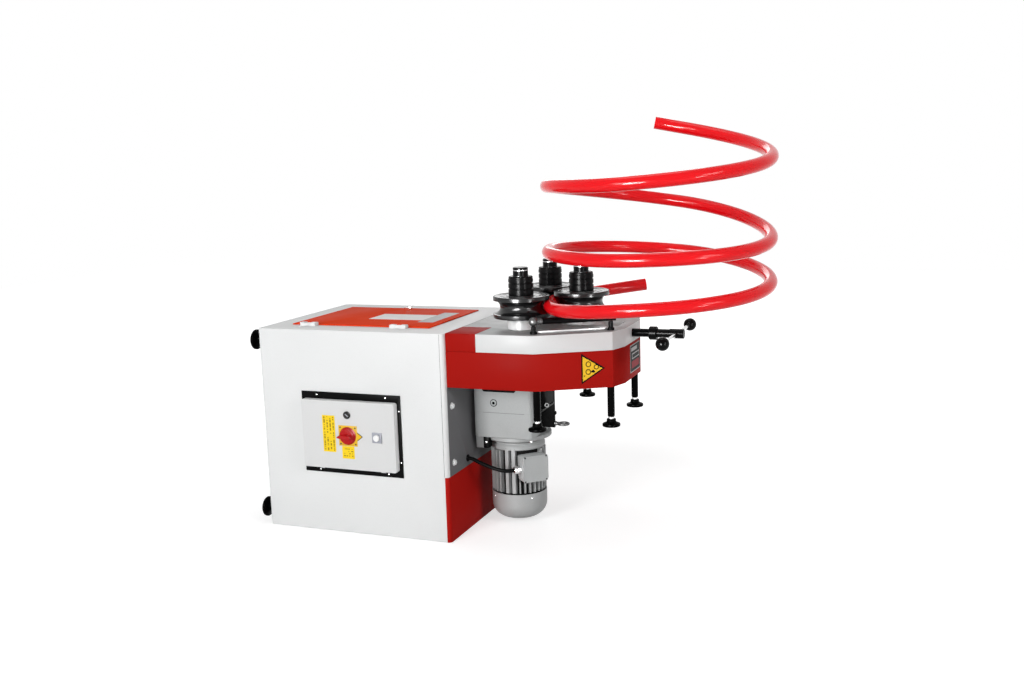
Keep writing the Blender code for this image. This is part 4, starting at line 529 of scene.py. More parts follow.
@dataclass(frozen=True)
class Foil(Finish):
    """Printed adhesive foil, a little uneven and rubbed."""

    def dress(self, recipe: Recipe) -> None:
        """Adds rubbed patches and a faint ripple."""
        at = recipe.place()
        rubbed = recipe.noise(at, scale=75.0, detail=4.0, roughness=0.6).between(0.45, 0.8)
        fine = recipe.noise(at, scale=1300.0, detail=1.0)
        tone = recipe.blend(rubbed * 0.18, self.colour, shade(self.colour, 0.72))
        tone = recipe.blend(fine * 0.12, tone, shade(self.colour, 1.15))
        self.cover(recipe, tone, self.roughness + rubbed * 0.15)
        recipe.relief(recipe.noise(at, scale=160.0, detail=2.0), strength=0.06, depth=0.0004)


WHITE_COAT = PowderCoat("cabinet_white", (0.79, 0.80, 0.80), 0.4, specular=0.06)
RED_COAT = PowderCoat("signal_red", (0.38, 0.011, 0.008), 0.34, specular=0.004, cloud=0.04)
SIDE_COAT = PowderCoat("side_red", (0.43, 0.011, 0.008), 0.42, specular=0.008, cloud=0.04)
# Door red painted lighter and more orange: painted light for the light falling on the door's top.
DOOR_RED_LIT = PowderCoat("door_red_lit", (0.80, 0.055, 0.010), 0.4, specular=0.003, cloud=0.04)
GREY_COAT = PowderCoat("side_grey", (0.155, 0.155, 0.16), 0.5, specular=0.05)
PLATE_COAT = PowderCoat("plate_grey", (0.74, 0.75, 0.75), 0.34, specular=0.05)
LID_COAT = PowderCoat("panel_grey", (0.70, 0.705, 0.705), 0.42, specular=0.06)
BOSS_COAT = PowderCoat("boss_white", (0.92, 0.93, 0.93), 0.3, specular=0.3)
# Black paint, also used as painted shade on the gear case.
BLACK_COAT_AND_SHADE = PowderCoat("frame_black_and_shade", (0.0025, 0.0025, 0.0025), 0.42, specular=0.03)
FOOT_BLACK = Moulded("foot_black", (0.0012, 0.0012, 0.0012), 0.24, specular=0.025)
RUBBER = Moulded("lead_rubber", (0.002, 0.002, 0.002), 0.5, specular=0.05, cells=700.0)
KNOB_BLACK = Moulded("knob_black", (0.001, 0.001, 0.001), 0.06, specular=0.08, grain=0.01)
# Ground steel for the top plate's upward faces, darkened partly as painted shade on that face.
PLATE_TOP_GROUND_AND_SHADE = BareSteel("plate_ground_and_shade", (0.33, 0.335, 0.335), 0.42, 0.25, specular=0.08)
STEEL_ALONG = BareSteel("steel_along", (0.50, 0.50, 0.50), 0.34, 1.0)
STEEL_UPRIGHT = BareSteel("steel_upright", (0.50, 0.50, 0.50), 0.34, 1.0, grain=Grain.UPRIGHT)
BRIGHT = BareSteel("bright_screw", (0.72, 0.72, 0.72), 0.22, 1.0, grain=Grain.ACROSS)
CHROME = BareSteel("chrome_bar", (0.78, 0.78, 0.78), 0.1, 1.0, grain=Grain.ACROSS)
EYE_STEEL = BareSteel("eye_steel", (0.10, 0.10, 0.10), 0.38, 1.0, grain=Grain.ACROSS)
LEVER_STEEL = BareSteel("lever_steel", (0.05, 0.05, 0.05), 0.25, 0.8, grain=Grain.UPRIGHT)
# Near black for printed marks and dark screw heads, and painted shade in the gear case plug's socket.
DARK_INK_AND_SHADE = Moulded("dark_ink_and_shade", (0.004, 0.004, 0.004), 0.4, specular=0.04)
CASE_PAINT = CastPaint("case_silver", (0.47, 0.485, 0.485), 0.5, 0.0, specular=0.03)
MOTOR_PAINT = CastPaint("motor_silver", (0.43, 0.44, 0.44), 0.42, 0.06, specular=0.05)
# Near black core: painted shade for the gaps between the motor's fins.
CORE_PAINTED_SHADE = CastPaint("motor_core_shade", (0.012, 0.012, 0.012), 0.6, 0.0, specular=0.03)
# Near black for slots: painted shade in openings and hollows.
SLOT_SHADE = Moulded("slot_shade", (0.02, 0.02, 0.02), 0.6, specular=0.2)
WARM_FOIL = Foil("label_warm_yellow", (0.86, 0.53, 0.03), 0.4, specular=0.04)
BLACK_FOIL = Foil("label_black", (0.006, 0.006, 0.006), 0.35, specular=0.02)
RED_FOIL = Foil("label_red", (0.30, 0.02, 0.03), 0.35, specular=0.02)
WHITE_FOIL = Foil("label_white", (0.84, 0.84, 0.83), 0.4, specular=0.05)
GREY_FOIL = Foil("label_grey", (0.50, 0.50, 0.50), 0.35, specular=0.05)
SWITCH_YELLOW = Moulded("switch_yellow", (0.80, 0.50, 0.03), 0.4, specular=0.1)
SWITCH_RED = Moulded("switch_red", (0.45, 0.006, 0.008), 0.26, specular=0.15, grain=0.06)
BEZEL_GREY = Moulded("bezel_grey", (0.32, 0.33, 0.38), 0.35)
BUTTON_WHITE = Moulded("button_white", (0.88, 0.88, 0.88), 0.2, grain=0.03)
SOCKET_BLACK = Moulded("black_plastic", (0.004, 0.004, 0.004), 0.3, specular=0.2)


class Workbench:
    """Modelling steps as done by hand, one piece at a time."""

    def take(self, piece: Piece) -> None:
        """Makes a piece the only selected one.

        Args:
            piece: The piece to work on.
        """
        bpy.ops.object.select_all(action="DESELECT")
        piece.select_set(True)
        bpy.context.view_layer.objects.active = piece

    @contextmanager
    def editing(self, piece: Piece) -> Iterator[None]:
        """Edit mode on one piece, with all of it selected.

        Args:
            piece: The piece to work on.
        """
        self.take(piece)
        bpy.ops.object.mode_set(mode="EDIT")
        bpy.ops.mesh.select_all(action="SELECT")
        yield
        bpy.ops.object.mode_set(mode="OBJECT")

    def choose(self, piece: Piece, test: Callable[[bmesh.types.BMFace], bool]) -> None:
        """Selects only the faces that pass a test, in edit mode.

        Args:
            piece: The piece being edited.
            test: Says whether a face is wanted.
        """
        bpy.ops.mesh.select_all(action="DESELECT")
        bpy.ops.mesh.select_mode(type="FACE")
        shape = bmesh.from_edit_mesh(piece.data)
        for face in shape.faces:
            face.select_set(test(face))
        bmesh.update_edit_mesh(piece.data)

    def named(self, name: str) -> Piece:
        """Names the piece that an operator has just added.

        Args:
            name: The new name.

        Returns:
            The piece.
        """
        piece = bpy.context.active_object
        piece.name = name
        piece.data.name = name
        return piece

    def settle(self, piece: Piece, place: Point = (0, 0, 0), turn: Point = (0, 0, 0)) -> None:
        """Turns and moves a piece, with its place kept in its mesh.

        Args:
            piece: The piece.
            place: Where its origin goes.
            turn: Its rotation.
        """
        self.take(piece)
        piece.rotation_euler = turn
        piece.location = place
        bpy.ops.object.transform_apply(location=True, rotation=True, scale=True)

    def smooth(self, piece: Piece, degrees: float = 32.0) -> Piece:
        """Shades round faces smooth and keeps real edges.

        Args:
            piece: The piece.
            degrees: The sharpest angle that is still smooth.

        Returns:
            The piece.
        """
        self.take(piece)
        bpy.ops.object.shade_smooth_by_angle(angle=math.radians(degrees))
        return piece

    def rounded(self, piece: Piece, width: float, segments: int = 2, limit: float = 30.0) -> None:
        """Rounds a piece's sharp edges with an applied Bevel.

        Args:
            piece: The piece.
            width: The rounding's width.
            segments: Its number of steps.
            limit: The smallest angle that is rounded, in degrees.
        """
        self.take(piece)
        bevel = piece.modifiers.new("rounding", "BEVEL")
        bevel.width = width
        bevel.segments = segments
        bevel.limit_method = "ANGLE"
        bevel.angle_limit = math.radians(limit)
        bevel.use_clamp_overlap = False
        bpy.ops.object.modifier_apply(modifier=bevel.name)

    def box(self, name: str, low: Point, high: Point, edge: float = 0.0, segments: int = 2) -> Piece:
        """A block between two corners, with rounded edges.

        Args:
            name: The piece's name.
            low: Its lowest corner.
            high: Its highest corner.
            edge: The width of its rounded edges.
            segments: The steps of the rounding.

        Returns:
            The piece.
        """
        bpy.ops.object.select_all(action="DESELECT")
        middle = [(a + b) / 2 for a, b in zip(low, high)]
        size = [b - a for a, b in zip(low, high)]
        bpy.ops.mesh.primitive_cube_add(size=1, location=middle, scale=size)
        piece = self.named(name)
        self.settle(piece, piece.location)
        if edge:
            with self.editing(piece):
                bpy.ops.mesh.bevel(offset=edge, segments=segments, affect="EDGES")
        return self.smooth(piece)

    def chain(self, name: str, points: Sequence[Point]) -> Piece:
        """A line of vertices, drawn by extruding one vertex from point to point.

        Args:
            name: The piece's name.
            points: The line.

        Returns:
            The piece.
        """
        bpy.ops.object.select_all(action="DESELECT")
        bpy.ops.mesh.primitive_plane_add(size=1, location=(0, 0, 0))
        piece = self.named(name)
        with self.editing(piece):
            bpy.ops.mesh.select_mode(type="VERT")
            bpy.ops.mesh.merge(type="CENTER")
            bpy.ops.transform.translate(value=tuple(points[0]))
            for before, after in zip(points, points[1:]):
                step = tuple(b - a for a, b in zip(before, after))
                bpy.ops.mesh.extrude_vertices_move(TRANSFORM_OT_translate={"value": step})
        return piece

    def lathe(
        self,
        name: str,
        profile: Profile,
        place: Point = (0, 0, 0),
        turn: Point = (0, 0, 0),
        steps: int = 64,
        smooth: float = 32.0,
    ) -> Piece:
        """A profile of (radius, height) spun round its own Z.

        Args:
            name: The piece's name.
            profile: The points; a ring's profile comes back to its first point.
            place: Where the axis starts.
            turn: The rotation of the axis.
            steps: Steps round the axis.
            smooth: The sharpest angle shaded smooth, in degrees.

        Returns:
            The piece.
        """
        piece = self.chain(name, [(radius, 0.0, height) for radius, height in profile])
        with self.editing(piece):
            bpy.ops.mesh.spin(steps=steps, angle=math.tau, center=(0, 0, 0), axis=(0, 0, 1))
            bpy.ops.mesh.select_all(action="SELECT")
            bpy.ops.mesh.remove_doubles(threshold=0.00002)
            bpy.ops.mesh.normals_make_consistent(inside=False)
        self.settle(piece, place, turn)
        return self.smooth(piece, smooth)

    def plate(
        self,
        name: str,
        outline: Profile,
        thickness: float,
        place: Point = (0, 0, 0),
        turn: Point = (0, 0, 0),
        edge: float = 0.0,
    ) -> Piece:
        """An outline in its own XY plane, filled and extruded along its own +Z.

        Args:
            name: The piece's name.
            outline: The points, counter-clockwise.
            thickness: How far it is extruded.
            place: Where its origin goes.
            turn: Its rotation.
            edge: The width of its rounded edges.

        Returns:
            The piece.
        """
        piece = self.chain(name, [(x, y, 0.0) for x, y in outline])
        with self.editing(piece):
            bpy.ops.mesh.edge_face_add()
            bpy.ops.mesh.extrude_region_move(TRANSFORM_OT_translate={"value": (0, 0, thickness)})
            bpy.ops.mesh.select_all(action="SELECT")
            bpy.ops.mesh.normals_make_consistent(inside=False)
        if edge:
            self.rounded(piece, edge)
        self.settle(piece, place, turn)
        return self.smooth(piece)

    def sweep(
        self, name: str, points: Sequence[Point], radius: float, resolution: int = 8, wall: float = 0.0
    ) -> Piece:
        """A round bar, or a tube with open ends, along a line of points.

        Args:
            name: The piece's name.
            points: The centre line.
            radius: The outer radius.
            resolution: How finely the section is drawn.
            wall: The wall's thickness; 0 makes a solid bar.

        Returns:
            The piece.
        """
        curve = bpy.data.curves.new(name, "CURVE")
        curve.dimensions = "3D"
        curve.bevel_depth = radius
        curve.bevel_resolution = resolution
        curve.use_fill_caps = not wall
        line = curve.splines.new("POLY")
        line.points.add(len(points) - 1)
        for spot, point in zip(line.points, points):
            spot.co = (*point, 1.0)
        drawn = bpy.data.objects.new(name, curve)
        bpy.context.scene.collection.objects.link(drawn)
        self.take(drawn)
        bpy.ops.object.convert(target="MESH")
        piece = self.named(name)
        with self.editing(piece):
            bpy.ops.mesh.remove_doubles(threshold=0.00001)
            bpy.ops.mesh.normals_make_consistent(inside=False)
        if wall:
            skin = piece.modifiers.new("wall", "SOLIDIFY")
            skin.thickness = wall
            skin.offset = -1.0
            self.take(piece)
            bpy.ops.object.modifier_apply(modifier=skin.name)
        return self.smooth(piece, 40.0)

    def refined(self, node: str, edge: float, segments: int = 2, limit: float = 30.0) -> Piece:
        """A copy of a CAD node with its edges rounded.

        Args:
            node: The node's name.
            edge: The width of the rounding.
            segments: Its steps.
            limit: The smallest angle that is rounded, in degrees.

        Returns:
            The piece.
        """
        piece = bpy.data.objects.new(node + "_dressed", frame["nodes"][node].data.copy())
        bpy.context.scene.collection.objects.link(piece)
        self.take(piece)
        bpy.ops.mesh.customdata_custom_splitnormals_clear()
        with self.editing(piece):
            bpy.ops.mesh.remove_doubles(threshold=0.00001)
            bpy.ops.mesh.dissolve_limited(angle_limit=math.radians(0.6))
        if edge:
            self.rounded(piece, edge, segments, limit)
        return self.smooth(piece)

    def copy(self, piece: Piece, name: str, move: Point = (0, 0, 0)) -> Piece:
        """A copy with its own mesh.

        Args:
            piece: The piece to repeat.
            name: The copy's name.
            move: How far the copy is moved.

        Returns:
            The copy.
        """
        made = bpy.data.objects.new(name, piece.data.copy())
        bpy.context.scene.collection.objects.link(made)
        made.data.transform(Matrix.Translation(Vector(move)))
        return made

    def joined(self, name: str, pieces: Sequence[Piece]) -> Piece:
        """Several pieces made one.

        Args:
            name: The name of the result.
            pieces: The pieces; the first one is kept.

        Returns:
            The piece.
        """
        self.take(pieces[0])
        for piece in pieces[1:]:
            piece.select_set(True)
        bpy.ops.object.join()
        return self.named(name)


BENCH = Workbench()


def deliver(piece: Piece, body: str, finish: Finish, replaces: Sequence[str] = ()) -> Piece:
    """Gives a finished piece its finish and its place in the frame.

    Args:
        piece: The piece.
        body: The CAD body that it rides on.
        finish: Its finish.
        replaces: The CAD nodes that it stands for.

    Returns:
        The piece.
    """
    piece.data.materials.clear()
    piece.data.materials.append(finish.make())
    for face in piece.data.polygons:
        face.material_index = 0
    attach(piece, body)
    if replaces:
        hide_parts(*replaces)
    LOG.info("%s on %s: %d faces", piece.name, body, len(piece.data.polygons))
    return piece


def dress(node: str, finish: Finish, edge: float = 0.0006, segments: int = 2) -> Piece:
    """Replaces a CAD node by a copy with rounded edges and a finish.

    Args:
        node: The node.
        finish: Its finish.
        edge: The width of the rounding.
        segments: Its steps.

    Returns:
        The new piece.
    """
    body = body_of(frame["nodes"][node])[0]
    return deliver(BENCH.refined(node, edge, segments), body, finish, [node])


def paint_node(node: str, finish: Finish) -> None:
    """Gives a CAD node that stays as it is a finish.

    Args:
        node: The node.
        finish: Its finish.
    """
    mesh = frame["nodes"][node].data
    mesh.materials.clear()
    mesh.materials.append(finish.make())
    LOG.info("%s keeps its solid", node)


def arc(centre: Pair, radius: float, start: float, end: float, steps: int) -> Outline:
    """Points of a circle between two angles in degrees.

    Args:
        centre: The circle's centre.
        radius: Its radius.
        start: The first angle.
        end: The last angle.
        steps: The number of steps.

    Returns:
        The points.
    """
    angles = [math.radians(start + (end - start) * step / steps) for step in range(steps + 1)]
    return [(centre[0] + radius * math.cos(a), centre[1] + radius * math.sin(a)) for a in angles]


def rounded_outline(length: float, depth: float, radius: float, steps: int = 6) -> Outline:
    """A rectangle round the origin with round corners.

    Args:
        length: Its size along X.
        depth: Its size along Y.
        radius: The corner's radius.
        steps: Steps in each corner.

    Returns:
        The points, counter-clockwise.
    """
    across, up = length / 2 - radius, depth / 2 - radius
    points = []
    for index, corner in enumerate(((across, up), (-across, up), (-across, -up), (across, -up))):
        points += arc(corner, radius, 90 * index, 90 * index + 90, steps)
    return points


def polygon(radius: float, sides: int, first: float = 0.0) -> Outline:
    """A regular polygon's corners.

    Args:
        radius: Distance to a corner.
        sides: The number of sides.
        first: The first corner's angle in degrees.

    Returns:
        The points.
    """
    return arc((0, 0), radius, first, first + 360 - 360 / sides, sides - 1)


class HeadShape(Enum):
    """A turned screw head: its profile in shares of radius and height, its steps, its smooth angle."""

    PAN = (((0.0, 0.62), (0.2, 0.62), (0.3, 1.0), (0.62, 0.93), (0.88, 0.6), (1.0, 0.2), (1.0, 0.0)), 20, 50)
    SOCKET = (((0.0, 0.4), (0.5, 0.4), (0.5, 1.0), (0.9, 1.0), (1.0, 0.88), (1.0, 0.0)), 24, 40)


@dataclass(frozen=True)
class Fastener:
    """A screw or bolt head of one size, in one finish, for use in many places."""

    radius: float
    rise: float
    finish: Finish = BRIGHT
    slot: str = "bare_steel"
    body: str = "machine"
    shape: HeadShape = HeadShape.PAN
    washer_reach: float = 1.25
    washer_rise: float = 0.22
    head_low: float = 0.2

    def screw(self, name: str, place: Point, turn: Point) -> None:
        """Puts a turned head with a round recess somewhere.

        Args:
            name: The head's name.
            place: The middle of its seat.
            turn: Its rotation.
        """
        shares, steps, smooth = self.shape.value
        profile = [(share * self.radius, level * self.rise) for share, level in shares]
        deliver(BENCH.lathe(name, profile, place, turn, steps, smooth), self.body, self.finish)

    def bolt(self, name: str, place: Point, turn: Point) -> None:
        """Puts a six-sided head on a washer somewhere; the radius is that of a corner.

        Args:
            name: The head's name.
            place: The middle of its seat.
            turn: Its rotation.
        """
        reach = self.radius * self.washer_reach
        flat = self.rise * self.washer_rise
        washer = BENCH.lathe("washer", [(0, 0.0), (reach, 0.0), (reach, flat), (0, flat)])
        low = (0, 0, self.rise * self.head_low)
        corners = polygon(self.radius, 6, 15.0)
        head = BENCH.plate("head", corners, self.rise * (1 - self.head_low), low, edge=self.radius * 0.06)
        both = BENCH.joined(name, [head, washer])
        BENCH.settle(both, place, turn)
        deliver(BENCH.smooth(both), self.body, self.finish)


@dataclass(frozen=True)
class Lamp:
    """A soft square lamp; a glint lamp only makes highlights."""

    name: str
    place: Point
    aim: Point
    size: float
    power: float
    glint: bool = False

    def hang(self) -> None:
        """Adds the lamp to the scene, turned to its aim."""
        data = bpy.data.lights.new(self.name, "AREA")
        data.shape = "SQUARE"
        data.size = self.size
        data.energy = self.power
        lamp = bpy.data.objects.new(self.name, data)
        lamp.location = self.place
        lamp.visible_diffuse = not self.glint
        lamp.rotation_euler = (Vector(self.aim) - Vector(self.place)).to_track_quat("-Z", "Y").to_euler()
        bpy.context.scene.collection.objects.link(lamp)


@dataclass
class Studio:
    """Camera, lamps, world and floor."""

    eye: Point = (1.558, -2.9375, 1.071)
    yaw: float = 21.52
    pitch: float = 9.575
    roll: float = -1.8
    lens: float = 38.357
    sensor: float = 36.0
    ambient: float = 0.24
    floor_glow: float = 0.62
    floor_grey: float = 0.62
    floor_roughness: float = 0.9
    floor_middle: Point = (0.4, 0.0, 0.0)
    floor_z: float = -0.001
    floor_size: float = 14.0
    fade: Pair = (0.8, 1.9)
    lamps: tuple[Lamp, ...] = (
        Lamp("key_lamp", (-0.8, -4.6, 1.65), (0.3, 0.0, 0.35), 1.5, 141.0),
        Lamp("right_lamp", (3.9, -1.6, 1.7), (0.6, 0.0, 0.5), 1.1, 44.0),
        Lamp("top_lamp", (0.3, 0.3, 3.8), (0.4, 0.0, 0.5), 1.6, 19.0),
        Lamp("back_lamp", (-0.6, 3.6, 2.2), (0.3, 0.0, 0.5), 1.6, 22.0),
        Lamp("left_glint", (0.35, -3.4, 0.75), (0.5, 0.0, 0.7), 1.1, 320.0, glint=True),
        Lamp("right_glint", (3.4, -1.9, 0.4), (0.5, 0.0, 0.7), 0.4, 30.0, glint=True),
    )

    def build(self) -> None:
        """Builds all of it."""
        self.camera()
        self.world()
        self.floor()
        for lamp in self.lamps:
            lamp.hang()

    def camera(self) -> None:
        """Puts the camera at the photograph's angle."""
        yaw, pitch, roll = (math.radians(angle) for angle in (self.yaw, self.pitch, self.roll))
        level = math.cos(pitch)
        forward = Vector((-math.sin(yaw) * level, math.cos(yaw) * level, -math.sin(pitch)))
        right = Vector((math.cos(yaw), math.sin(yaw), 0.0))
        up = right.cross(forward)
        side = right * math.cos(roll) + up * math.sin(roll)
        over = up * math.cos(roll) - right * math.sin(roll)
        data = bpy.data.cameras.new("camera")
        data.lens = self.lens
        data.sensor_width = self.sensor
        camera = bpy.data.objects.new("camera", data)
        turned = Matrix((side, over, -forward)).transposed().to_4x4()
        camera.matrix_world = Matrix.Translation(Vector(self.eye)) @ turned
        bpy.context.scene.collection.objects.link(camera)
        bpy.context.scene.camera = camera
        bpy.context.scene.view_settings.view_transform = "Standard"

    def world(self) -> None:
        """White where it is seen, directly or mirrored; softer where it lights the object."""
        world = bpy.data.worlds.new("studio")
        world.use_nodes = True
        tree = world.node_tree
        soft = tree.nodes["Background"]
        white = tree.nodes.new("ShaderNodeBackground")
        for back, strength in ((soft, self.ambient), (white, 1.0)):
            back.inputs["Color"].default_value = (1.0, 1.0, 1.0, 1.0)
            back.inputs["Strength"].default_value = strength
        mix = tree.nodes.new("ShaderNodeMixShader")
        path = tree.nodes.new("ShaderNodeLightPath")
        seen = path.outputs["Is Camera Ray"]
        for name in ("Is Glossy Ray", "Is Transmission Ray"):
            most = tree.nodes.new("ShaderNodeMath")
            most.operation = "MAXIMUM"
            tree.links.new(seen, most.inputs[0])
            tree.links.new(path.outputs[name], most.inputs[1])
            seen = most.outputs[0]
        tree.links.new(seen, mix.inputs[0])
        tree.links.new(soft.outputs[0], mix.inputs[1])
        tree.links.new(white.outputs[0], mix.inputs[2])
        tree.links.new(mix.outputs[0], tree.nodes["World Output"].inputs["Surface"])
        bpy.context.scene.world = world

    def floor(self) -> None:
        """A pale floor that keeps the object's shadow and fades into the background."""
        bpy.ops.object.select_all(action="DESELECT")
        x, y, _ = self.floor_middle
        bpy.ops.mesh.primitive_plane_add(size=self.floor_size, location=(x, y, self.floor_z))
        floor = BENCH.named("floor")
        BENCH.settle(floor, floor.location)
        recipe = Recipe("floor")
        shader = recipe.shader
        shader.inputs["Base Color"].default_value = (*[self.floor_grey] * 3, 1.0)
        shader.inputs["Roughness"].default_value = self.floor_roughness
        shader.inputs["Specular IOR Level"].default_value = 0.0
        shader.inputs["Emission Strength"].default_value = 1.0
        round_it = recipe.rings(recipe.place(self.floor_middle))
        reach = recipe.add("ShaderNodeSeparateXYZ", {}, {0: round_it})
        seen = recipe.add("ShaderNodeLightPath", output="Is Camera Ray")
        for name in ("Is Glossy Ray", "Is Transmission Ray"):
            seen = seen.at_least(recipe.add("ShaderNodeLightPath", output=name))
        level = seen * (self.floor_glow + reach.between(*self.fade) * (1.0 - self.floor_glow))
        recipe.feed(shader.inputs["Emission Color"], recipe.blend(level, (0.0, 0.0, 0.0), (1.0, 1.0, 1.0)))
        floor.data.materials.append(recipe.material)


@dataclass
class Cabinet:
    """Sheet-steel cabinet with its side covers, louvres, seams and bolts."""

    front_y: float = 0.2625
    height: float = 0.6
    cover_low: float = 0.19
    seam_x: float = 0.2868
    seam_rise: float = 0.00035
    seam_parts: tuple[tuple[str, float, float], ...] = (("line", 0.0, 0.0009), ("lip", 0.0011, 0.0019))
    bolt_x: float = 0.3003
    bolt_y: float = 0.2246
    bolt_heights: Pair = (0.39, 0.2265)
    side_bolt: Fastener = Fastener(0.0078, 0.0065, BOSS_COAT)
    slot_half: float = 0.07
    slot_rise: float = 0.0004
    slot_heights: Pair = (0.468, 0.4732)
    hood_half: float = 0.072
    hood_z: float = 0.4722
    hood_section: Profile = ((0.0, 0.0), (0.0052, 0.0), (0.0058, 0.0012), (0.0040, 0.0058), (0.0, 0.0105))
    louvre_count: int = 7
    louvre_step: float = 0.0185

    def build(self) -> None:
        """Builds the shell, covers, seams, louvres and bolts."""
        dress("cabinet_shell", WHITE_COAT, 0.0014, 3)
        dress("lower_side_panel", SIDE_COAT, 0.0005)
        dress("side_plate", GREY_COAT, 0.0004)
        paint_node("base_plate", STEEL_UPRIGHT)
        self.seams()
        self.louvres()
        for index, height in enumerate(self.bolt_heights):
            for label, side in (("front", -1), ("back", 1)):
                place = (self.bolt_x, side * self.bolt_y, height)
                self.side_bolt.bolt(f"side_bolt_{index}_{label}", place, Facing.RIGHT.value)

    def louvres(self) -> None:
        """Ventilation louvres in the back: pressed hoods, each over a thin dark box painted as the shade of
        its opening.
        """
        low, high = self.slot_heights
        near, far = self.front_y - self.slot_rise, self.front_y + self.slot_rise
        # Each slot is a thin dark box: painted shade for the opening under its hood.
        slot = BENCH.box("louvre_slot_0", (-self.slot_half, near, low), (self.slot_half, far, high), 0.0002)
        home = (-self.hood_half, self.front_y, self.hood_z)
        turn = (QUARTER, 0, QUARTER)
        hood = BENCH.plate("louvre_hood_0", self.hood_section, 2 * self.hood_half, home, turn, 0.0008)
        for index in range(1, self.louvre_count):
            drop = (0.0, 0.0, -self.louvre_step * index)
            deliver(BENCH.copy(slot, f"louvre_slot_{index}", drop), "machine", SLOT_SHADE)
            deliver(BENCH.copy(hood, f"louvre_hood_{index}", drop), "machine", WHITE_COAT)
        deliver(slot, "machine", SLOT_SHADE)
        deliver(BENCH.smooth(hood), "machine", WHITE_COAT)

    def seams(self) -> None:
        """The thin shut lines where the side's folded edge meets the front and back sheets."""
        low_z, high_z = self.cover_low + 0.001, self.height - 0.0016
        for name, side in (("front", -1), ("back", 1)):
            low_y, high_y = sorted((side * self.front_y, side * (self.front_y + self.seam_rise)))
            for part, start, end in self.seam_parts:
                low = (self.seam_x + start, low_y, low_z)
                high = (self.seam_x + end, high_y, high_z)
                strip = BENCH.box(f"{name}_seam_{part}", low, high, 0.00015)
                deliver(strip, "machine", GREY_COAT if part == "line" else WHITE_COAT)


@dataclass
class AccessDoor:
    """The red door on top with its hinges, latch and blank plate."""

    top: float = 0.6033
    foil_rise: float = 0.0004
    foil_corner: float = 0.002
    foils: tuple[tuple[str, Pair, Pair, Finish], ...] = (
        ("door_label", (-0.040, -0.058), (0.140, 0.046), WHITE_FOIL),
        ("door_label_end", (0.1395, -0.0925), (0.190, 0.100), GREY_FOIL),
    )
    slot_low: Point = (-0.0275, 0.1615, 0.6104)
    slot_high: Point = (-0.0075, 0.1635, 0.61075)

    def build(self) -> None:
        """Builds the door's pieces."""
        # The door's red carries painted light for the light on its top.
        dress("access_door", DOOR_RED_LIT, 0.0007)
        for side in ("left", "right"):
            dress(f"access_hinge_{side}", WHITE_COAT, 0.0006)
        dress("door_latch", BRIGHT, 0.0009, 3)
        for name, low, high, finish in self.foils:
            size = (high[0] - low[0], high[1] - low[1])
            middle = ((low[0] + high[0]) / 2, (low[1] + high[1]) / 2, self.top)
            outline = rounded_outline(*size, self.foil_corner)
            foil = BENCH.plate(name, outline, self.foil_rise, middle, edge=0.0001)
            deliver(foil, "access_lid", finish)
        # A dark strip on the latch: painted shade for its slot.
        slot = BENCH.box("latch_slot", self.slot_low, self.slot_high, 0.0001)
        deliver(slot, "latch", SLOT_SHADE)


